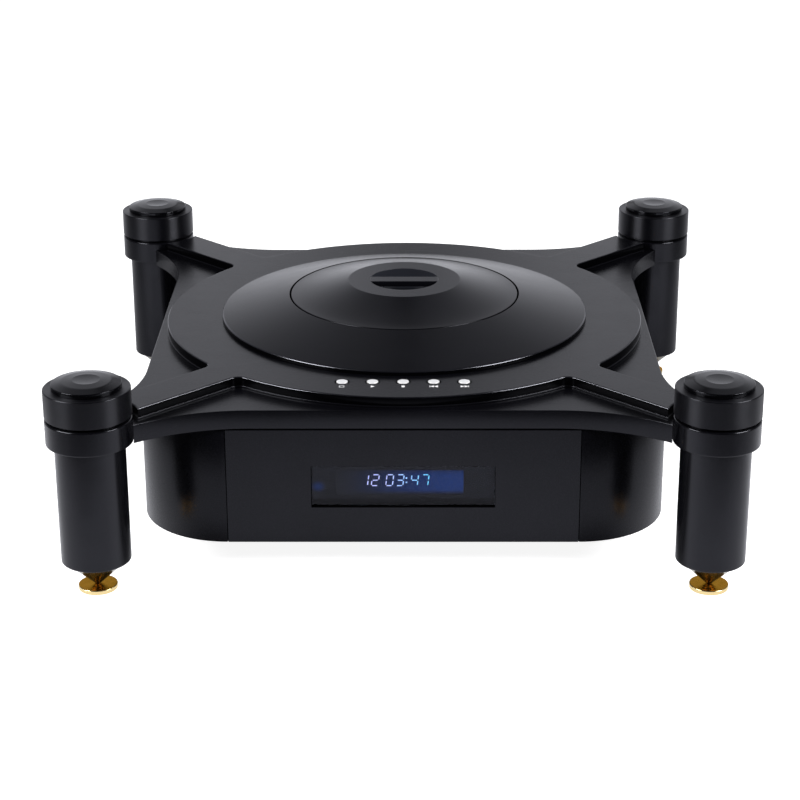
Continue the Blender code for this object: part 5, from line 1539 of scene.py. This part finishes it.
def digit_light():
    """The digits' light, from violet on the left to cyan on the right."""
    light = Finish("lit_digits", IOR=1.5, Roughness=0.3)
    x, _, _ = light.axes(light.place)
    tint = light.blend(light.between(x, 0.0, 1.0, *DIGIT_TINTED), DIGIT_VIOLET, DIGIT_CYAN)
    flicker = light.between(light.noise(DIGIT_FLICKER, 2.0), 0.45, 1.25, *MOST)
    light.set("Base Color", tint)
    light.glow(tint, light.times(flicker, DIGIT_LEVEL))
    return light.material


def mains_inlet():
    """The appliance inlet with its three contacts."""
    face = DECK_HALF + GAP
    across, rise = CAVITY_HALF
    low, high = SOCKET_LEVEL - rise, SOCKET_LEVEL + rise
    cavity = [
        (INLET_X - across, low),
        (INLET_X + across, low),
        (INLET_X + across, high - CAVITY_CORNER),
        (INLET_X + across - CAVITY_CORNER, high),
        (INLET_X - across + CAVITY_CORNER, high),
        (INLET_X - across, high - CAVITY_CORNER),
    ]
    flange = rear_shape(INLET_X, INLET_HALF, INLET_FLANGE)
    body = rear_shape(INLET_X, INLET_HALF)
    cavity_back = face - CAVITY_DEPTH
    bm = plate([flange, cavity], face, face + INLET_FLANGE_THICKNESS, ROUND)
    add(bm, plate([body, cavity], cavity_back, face))
    add(bm, plate([body], face - INLET_DEPTH, cavity_back - NEAR))
    width, height = BLADE_HALF
    for aside, up in BLADE_PLACES:
        x, z = INLET_X + aside, SOCKET_LEVEL + up
        blade = rectangle((x - width, z - height), (x + width, z + height))
        add(bm, plate([blade], cavity_back - NEAR, face - BLADE_SINK, BROKEN), 1)
    bm = stand_up(bm, back=True)
    piece("mains_inlet_fine", bm, "chassis", "socket_plastic", [black_plastic, nickel], "mains_inlet")


def power_switch():
    """The rocker switch's housing and its rocker, with a hollow between two crests."""
    face = DECK_HALF + GAP
    grown = (SWITCH_WALL, 0, -SWITCH_WALL)
    flange, body, cavity = (rear_shape(SWITCH_X, SWITCH_HALF, grow) for grow in grown)
    cavity_back = face - SWITCH_CAVITY_DEPTH
    bm = plate([flange, cavity], face, face + SWITCH_FLANGE_THICKNESS, BROKEN)
    add(bm, plate([body, cavity], cavity_back, face))
    add(bm, plate([body], face - SWITCH_DEPTH, cavity_back - NEAR))
    bm = stand_up(bm, back=True)
    piece("switch_housing_fine", bm, "chassis", "socket_plastic", black_plastic, "switch_housing")

    tip_x, tip_y = ROCKER_CREST * math.cos(ROCKER_LIFT), ROCKER_CREST * math.sin(ROCKER_LIFT)
    shares = [1 - 2 * i / DIP_STEPS for i in range(DIP_STEPS + 1)]
    dip = [(tip_x * share, tip_y - (tip_y - ROCKER_DISH) * (1 - share**2)) for share in shares]
    outline = rotated(arc((0, 0), ROCKER_RADIUS, math.pi, 2 * math.pi, ROCKER_STEPS) + dip, ROCKER_TILT)
    bm = plate([outline], -ROCKER_HALF, ROCKER_HALF, CRISP, CRISP)
    lie = Matrix(((0, 0, 1), (0, 1, 0), (-1, 0, 0)))
    bmesh.ops.rotate(bm, verts=bm.verts, cent=(0, 0, 0), matrix=lie)
    bmesh.ops.translate(bm, verts=bm.verts, vec=(-SWITCH_X, ROCKER_PIVOT_Y, SOCKET_LEVEL))
    piece("power_rocker_fine", bm, "rocker", "socket_plastic", black_plastic, "power_rocker")


def tube(inner, outer, low, high, sides, inner_ease=0.0, outer_ease=0.0):
    """A turned tube with eased edges at its top."""
    profile = [(inner, low, 0), (inner, high, inner_ease), (outer, high, outer_ease), (outer, low, 0)]
    return lathe(profile, sides, closed=True)


def output_jacks():
    """Three gold jacks with coloured insulators on their block."""
    plate_back = PANEL_BACK - GAP
    left, right = JACK_XS[0] - JACK_PLATE_MARGIN, JACK_XS[-1] + JACK_PLATE_MARGIN
    low, high = SOCKET_LEVEL - JACK_PLATE_HALF, SOCKET_LEVEL + JACK_PLATE_HALF
    bm = block((left, plate_back - JACK_PLATE_THICKNESS, low), (right, plate_back, high), BROKEN)
    for x, insulator in zip(JACK_XS, (2, 3, 4)):
        barrel = [
            (JACK_BORE, JACK_END - JACK_DEPTH, 0),
            (JACK_BORE, JACK_END, KEEN),
            (JACK_RADIUS, JACK_END, CRISP),
            (JACK_RADIUS, plate_back, 0),
            (JACK_BORE, plate_back, 0),
        ]
        core = [
            (CORE_BORE, JACK_END - CORE_DEPTH, 0),
            (CORE_BORE, JACK_END - CORE_SINK, KEEN),
            (JACK_BORE, JACK_END - CORE_SINK, KEEN),
            (JACK_BORE, PANEL_BACK, 0),
            (CORE_BORE, PANEL_BACK, 0),
        ]
        pin = tube(PIN_BORE, CORE_BORE, JACK_END - PIN_DEPTH, JACK_END - PIN_SINK, STUD_SIDES, HAIR)
        rims = [circle((0, 0), NUT_RADIUS, HEX_SIDES), circle((0, 0), JACK_RADIUS + NEAR, PIN_SIDES)]
        seat = DECK_HALF + GAP
        nut = plate(rims, seat, seat + NUT_THICKNESS, CRISP)
        turned = lathe(barrel, JACK_SIDES, closed=True), lathe(core, PIN_SIDES, closed=True)
        for mesh, slot in zip((*turned, pin, nut), (1, insulator, 1, 1)):
            add(bm, turned_to(mesh, (0, 1, 0), (x, 0, SOCKET_LEVEL)), slot)
    finishes = [black_plastic, gold, white_ring, red_ring, rubber]
    piece("output_jacks_fine", bm, "chassis", "socket_plastic", finishes, "output_jacks")


def disc_well():
    """The dish for the disc, with the slot that the pickup looks through."""
    profile = [
        (WELL_BORE, RING_LOW + WELL_FLANGE_THICKNESS, BROKEN),
        (WELL_FLANGE_RADIUS, RING_LOW + WELL_FLANGE_THICKNESS, CRISP),
        (WELL_FLANGE_RADIUS, RING_LOW, 0),
        (WELL_RADIUS, RING_LOW, 0),
        (WELL_RADIUS, WELL_LOW, BROKEN),
        (SHAFT_HOLE, WELL_LOW, 0),
        (SHAFT_HOLE, WELL_FLOOR, 0),
        (DISC_STEP_RADIUS, WELL_FLOOR, KEEN),
        (DISC_STEP_RADIUS + DISC_STEP, WELL_FLOOR + DISC_STEP, KEEN),
        (WELL_BORE, WELL_FLOOR + DISC_STEP, WELL_CORNER),
    ]
    slot = block(SLOT_LOW, SLOT_HIGH)
    bm = lathe(profile, RING_SIDES, closed=True)
    well = piece("disc_well_fine", bm, "chassis", "drive_plastic", well_plastic, "disc_well")
    carve(well, slot)


def turntable():
    """The hub and the table that the disc lies on, with its rubber mat and its shaft."""
    profile = [
        (0, HUB_HIGH, 0),
        (HUB_TIP_RADIUS, HUB_HIGH, EASED),
        (HUB_RADIUS, HUB_RIM, EASED),
        (HUB_RADIUS, TABLE_HIGH, 0),
        (MAT_INNER, TABLE_HIGH, 0),
        (TABLE_RADIUS, TABLE_HIGH, CRISP),
        (TABLE_RADIUS, TABLE_LOW, CRISP),
        (SHAFT_RADIUS, TABLE_LOW, 0),
        (SHAFT_RADIUS, SHAFT_LOW, 0),
        (0, SHAFT_LOW, 0),
    ]
    bm = lathe(profile, HUB_SIDES)
    for face in bm.faces:
        middle = face.calc_center_median()
        radius = middle.xy.length
        face.material_index = int(MAT_INNER + NEAR < radius < MAT_OUTER and middle.z > TABLE_HIGH - 2 * NEAR)
        if radius < SHAFT_RADIUS + NEAR:
            face.material_index = 2
    piece("turntable_fine", bm, "spindle", "drive_plastic", [black_plastic, rubber, steel], "turntable")


def clamp():
    """The puck that holds the disc down, and the stem that it hangs on under the lid."""
    puck = [
        (PUCK_BORE, PUCK_HIGH, KEEN),
        (PUCK_RADIUS, PUCK_HIGH, ROUND),
        (PUCK_RADIUS, PUCK_LOW, CRISP),
        (PUCK_HOLLOW_RADIUS, PUCK_LOW, CRISP),
        (PUCK_HOLLOW_RADIUS, PUCK_HOLLOW_HIGH, 0),
        (PUCK_BORE, PUCK_HOLLOW_HIGH, 0),
    ]
    bm = lathe(puck, closed=True)
    piece("clamp_puck_fine", bm, "clamp", "drive_plastic", black_plastic, "clamp_puck")
    stem = [
        (0, STEM_HIGH, 0),
        (STEM_THREAD_RADIUS, STEM_HIGH, KEEN),
        (STEM_THREAD_RADIUS, STEM_SHOULDER, 0),
        (STEM_RADIUS, STEM_SHOULDER, KEEN),
        (STEM_RADIUS, STEM_HEAD_HIGH, 0),
        (STEM_HEAD_RADIUS, STEM_HEAD_HIGH, CRISP),
        (STEM_HEAD_RADIUS, STEM_LOW, BROKEN),
        (0, STEM_LOW, 0),
    ]
    piece("clamp_stem_fine", lathe(stem, SMALL_SIDES), "lid", "drive_steel", steel, "clamp_stem")


def drive():
    """The motors, the rods and the lead screw under the disc well."""
    motor = [
        (0, MOTOR_BORE_LOW, 0),
        (MOTOR_BORE, MOTOR_BORE_LOW, 0),
        (MOTOR_BORE, MOTOR_HIGH, 0),
        (MOTOR_RADIUS, MOTOR_HIGH, EASED),
        (MOTOR_RADIUS, MOTOR_LOW, EASED),
        (0, MOTOR_LOW, 0),
    ]
    piece("spindle_motor_fine", lathe(motor, MOTOR_SIDES), "chassis", "drive_steel", steel, "spindle_motor")
    rod = [(0, 0, 0), (ROD_RADIUS, 0, KEEN), (ROD_RADIUS, ROD_LENGTH, KEEN), (0, ROD_LENGTH, 0)]
    for name, y in (("front", -ROD_Y), ("rear", ROD_Y)):
        bm = turned_to(lathe(rod, PIN_SIDES), (1, 0, 0), (ROD_START, y, ROD_LEVEL))
        piece(f"guide_rod_{name}_fine", bm, "chassis", "drive_steel", steel, f"guide_rod_{name}")
    piece("lead_screw_fine", lead_screw(), "screw", "drive_steel", steel, "lead_screw")
    can = [
        (0, SLED_MOTOR_LENGTH, 0),
        (SLED_MOTOR_RADIUS, SLED_MOTOR_LENGTH, SOFT),
        (SLED_MOTOR_RADIUS, 0, SOFT),
        (SLED_MOTOR_BORE, 0, 0),
        (SLED_MOTOR_BORE, SCREW_END_LENGTH, 0),
        (0, SCREW_END_LENGTH, 0),
    ]
    bm = turned_to(lathe(can, SMALL_SIDES), (1, 0, 0), (SLED_MOTOR_X, 0, ROD_LEVEL))
    piece("sled_motor_fine", bm, "chassis", "drive_steel", steel, "sled_motor")


def lead_screw():
    """The pickup's screw, its thread cut as rings that lean with the lead."""
    profile = [(0, 0, 0), (THREAD_END_RADIUS, 0, 0)]
    pitch = ROD_LENGTH / THREAD_TURNS
    for i in range(THREAD_TURNS):
        start = pitch * (i + THREAD_START_SHARE)
        profile += [
            (THREAD_RADIUS, start, 0),
            (THREAD_ROOT, start + pitch * THREAD_ROOT_SHARE, 0),
            (THREAD_RADIUS, start + pitch * THREAD_CREST_SHARE, 0),
        ]
    profile += [
        (THREAD_END_RADIUS, ROD_LENGTH, 0),
        (SCREW_END_RADIUS, ROD_LENGTH, 0),
        (SCREW_END_RADIUS, ROD_LENGTH + SCREW_END_LENGTH, 0),
        (0, ROD_LENGTH + SCREW_END_LENGTH, 0),
    ]
    bm = lathe(profile, STUD_SIDES)
    for vert in bm.verts:
        if THREAD_MARGIN < vert.co.z < ROD_LENGTH - THREAD_MARGIN:
            vert.co.z += THREAD_LEAN * math.atan2(vert.co.y, vert.co.x) / math.pi
    return turned_to(bm, (1, 0, 0), (ROD_START, 0, ROD_LEVEL))


def pickup():
    """The sliding carriage with its lens under a clear dome."""
    bm = block(CARRIAGE_LOW, CARRIAGE_HIGH, EASED)
    add(bm, block(TURRET_LOW, TURRET_HIGH, TURRET_EDGE))
    ring = tube(LENS_RADIUS, LENS_RING_RADIUS, LENS_RING_LOW, LENS_RING_HIGH, SMALL_SIDES, KEEN, CRISP)
    bmesh.ops.translate(ring, verts=ring.verts, vec=(LENS_X, 0, 0))
    add(bm, ring)
    dome = [
        (0, LENS_HIGH, 0),
        (LENS_DOME_RADIUS, LENS_DOME, LENS_DOME_EASE),
        (LENS_RADIUS, LENS_RIM, 0),
        (LENS_RADIUS, LENS_LOW, 0),
        (0, LENS_LOW, 0),
    ]
    add(bm, lathe(dome, JACK_SIDES, (LENS_X, 0, 0)), 1)
    lens = Finish("lens_blue", IOR=1.6)
    lens.color(lens.noise(LENS_CLOUDS, 2.0), LENS_BLUE, LENS_VIOLET, *MIDDLE)
    lens.gloss(lens.noise(LENS_SMEARS, 1.0), 0.03, 0.07)
    finishes = [black_plastic, lens.material]
    piece("pickup_carriage_fine", bm, "pickup", "drive_plastic", finishes, "pickup_carriage")


def transformer():
    """The ring shaped transformer, wound with tape."""
    tape = Finish("wound_tape", IOR=1.5)
    x, y, _ = tape.axes(tape.place)
    aside = tape.math("SUBTRACT", x, TRANSFORMER_PLACE[0])
    ahead = tape.math("SUBTRACT", y, TRANSFORMER_PLACE[1])
    wave = tape.math("SINE", tape.times(tape.math("ARCTAN2", ahead, aside), TAPE_TURNS))
    tape.color(wave, TAPE_AMBER, TAPE_YELLOW, -1, 1)
    tape.gloss(tape.noise(TAPE_SMEARS, 3.0), 0.25, 0.5)
    tape.bump(wave, 0.5, TAPE_DEPTH)
    profile = [
        (TRANSFORMER_RADIUS, TRANSFORMER_HIGH, TRANSFORMER_EDGE),
        (TRANSFORMER_RADIUS, TRANSFORMER_LOW, TRANSFORMER_EDGE),
        (TRANSFORMER_BORE, TRANSFORMER_LOW, TRANSFORMER_BORE_EDGE),
        (TRANSFORMER_BORE, TRANSFORMER_HIGH, TRANSFORMER_BORE_EDGE),
    ]
    bm = lathe(profile, place=TRANSFORMER_PLACE, closed=True)
    piece("transformer_fine", bm, "chassis", "transformer_wrap", tape.material, "transformer")


def boards():
    """Solder mask and tracks for the boards, and zinc for the drive's base, whose CAD shapes stay."""
    mask = Finish("solder_mask", IOR=1.5)
    colors = {name: rgba(color) for name, color in BOARD_GREENS.items()}
    pattern = {"Scale": BOARD_TRACKS, "Mortar_Size": BOARD_TRACK_GAP, "Vector": mask.place}
    tracks = mask.node("TexBrick", **pattern, **colors)
    mask.set("Base Color", tracks.outputs[0])
    mask.gloss(mask.noise(BOARD_SMEARS, 2.0), 0.3, 0.5)
    mask.bump(tracks.outputs[1], 0.3, MOULD_DEPTH)
    paint("main_board", mask.material)
    paint("button_board", mask.material)
    paint("drive_base", zinc)


def floor():
    """A pale floor whose glow, as reflections see it, is painted bright near the object and far behind it,
    with a painted shadow under the drum.
    """
    bm = bmesh.new()
    bmesh.ops.create_grid(bm, x_segments=1, y_segments=1, size=FLOOR_SIZE)
    mesh = bpy.data.meshes.new("floor")
    bm.to_mesh(mesh)
    bm.free()
    obj = bpy.data.objects.new("floor", mesh)
    bpy.context.scene.collection.objects.link(obj)
    white = Finish("floor_white", Roughness=0.9, Specular_IOR_Level=0.0)
    x, y, _ = white.axes(white.place)
    # Painted light: reflections see the floor's glow brighter near the object and far behind it
    reach = white.reach(white.times(x, FLOOR_WIDER), white.math("MINIMUM", y, 0.0))
    near = white.between(reach, 1.0, 0.0, *FLOOR_FADE, smooth=True)
    near = white.times(near, white.between(y, 1.0, FLOOR_MIDDLE_LEVEL, *FLOOR_MIDDLE, smooth=True))
    bright = white.math("MAXIMUM", near, white.between(y, 0.0, 1.0, *FLOOR_REAR, smooth=True))
    # Painted shadow: reflections see the floor's glow and colour darker under the drum
    under = white.between(white.math("ABSOLUTE", x), 1.0, 0.0, *SHADE_SIDES, smooth=True)
    under = white.times(under, white.between(y, 0.0, 1.0, *SHADE_FRONT, smooth=True))
    under = white.times(under, white.between(y, 1.0, 0.0, *SHADE_REAR, smooth=True), SHADE_DEPTH)
    bright = white.times(bright, white.math("SUBTRACT", 1.0, under))
    rays = white.node("LightPath").outputs
    glossy, seen = rays["Is Glossy Ray"], rays["Is Camera Ray"]
    bright = white.math("SUBTRACT", 1.0, white.times(glossy, white.math("SUBTRACT", 1.0, bright)))
    pale = white.blend(white.between(white.noise(FLOOR_SPECKS, 2.0), 0, 1, *MOST), FLOOR_PALE, FLOOR_PALER)
    dim = white.times(bright, white.between(glossy, 1.0, FLOOR_BOUNCED))
    white.set("Base Color", white.blend(dim, (0.0, 0.0, 0.0), pale))
    lit = white.math("MAXIMUM", white.math("MAXIMUM", glossy, seen), rays["Is Transmission Ray"])
    power = white.times(lit, bright, white.between(seen, FLOOR_MIRRORED, FLOOR_SEEN))
    white.glow(white.blend(seen, DAYLIGHT, WHITE), power)
    mesh.materials.append(white.material)


def surround():
    """White behind the object, and a dome of light that fades from the rear over the top to the front."""
    world = bpy.data.worlds.new("studio")
    bpy.context.scene.world = world
    sky = Nodes(world)
    x, y, _ = sky.axes(sky.node("TexCoord").outputs["Generated"])
    ramp = sky.node("ValToRGB", Fac=sky.math("MULTIPLY_ADD", y, 0.5, 0.5))
    ramp.color_ramp.interpolation = "B_SPLINE"
    stops = ramp.color_ramp.elements
    for stop, (position, level) in zip(stops, (WORLD_STOPS[0], WORLD_STOPS[-1])):
        stop.position, stop.color = position, rgba(shade(DAYLIGHT, level))
    for position, level in WORLD_STOPS[1:-1]:
        stops.new(position).color = rgba(shade(DAYLIGHT, level))
    sides = sky.node("FloatCurve", Value=sky.math("ABSOLUTE", x))
    points = sides.mapping.curves[0].points
    for point, place in zip(points, (WORLD_SIDES[0], WORLD_SIDES[-1])):
        point.location = place
    for place in WORLD_SIDES[1:-1]:
        points.new(*place)
    sides.mapping.update()
    strength = sky.times(sides.outputs[0], WORLD_LEVEL)
    light = sky.node("Background", Color=ramp.outputs[0], Strength=strength)
    backdrop = sky.node("Background", Color=rgba(WHITE))
    choice = sky.node("MixShader", Fac=sky.node("LightPath").outputs["Is Camera Ray"])
    for socket, shader in zip(choice.inputs[1:3], (light, backdrop)):
        sky.feed(socket, shader.outputs[0])
    sky.node("OutputWorld", Surface=choice.outputs[0])


def lamps():
    """A soft box at either side."""
    for name, place in SOFTBOXES.items():
        light = bpy.data.lights.new(name, "AREA")
        light.shape = "RECTANGLE"
        light.size, light.size_y = SOFTBOX_SIZE
        light.energy = SOFTBOX_POWER
        obj = bpy.data.objects.new(name, light)
        obj.location = place
        way = Vector(SOFTBOX_TARGET) - Vector(place)
        obj.rotation_euler = way.to_track_quat("-Z", "Y").to_euler()
        bpy.context.scene.collection.objects.link(obj)


def studio():
    """The floor, the surround and the lamps, shown in plain colours."""
    bpy.context.scene.view_settings.view_transform = "Standard"
    floor()
    surround()
    lamps()


def camera():
    """A long lens from in front and above, at the photograph's angle."""
    data = bpy.data.cameras.new("camera")
    data.sensor_width = SENSOR_WIDTH
    data.lens = SENSOR_WIDTH * FOCAL_PIXELS / PICTURE_WIDTH
    data.clip_start = CAMERA_NEAR
    obj = bpy.data.objects.new("camera", data)
    turn = Matrix.Rotation(CAMERA_PAN, 4, "Z")
    turn @= Matrix.Rotation(CAMERA_TILT, 4, "X")
    turn @= Matrix.Rotation(CAMERA_ROLL, 4, "Z")
    obj.matrix_world = Matrix.Translation(CAMERA_PLACE) @ turn
    bpy.context.scene.collection.objects.link(obj)
    bpy.context.scene.camera = obj


camera()
pillars()
lower_deck()
upper_deck()
buttons()
button_marks()
lid_ring()
lid()
side_shells()
front_panel()
rear_panel()
screws()
bottom_plate()
window_glass()
display()
mains_inlet()
power_switch()
output_jacks()
disc_well()
turntable()
clamp()
drive()
pickup()
transformer()
boards()
studio()
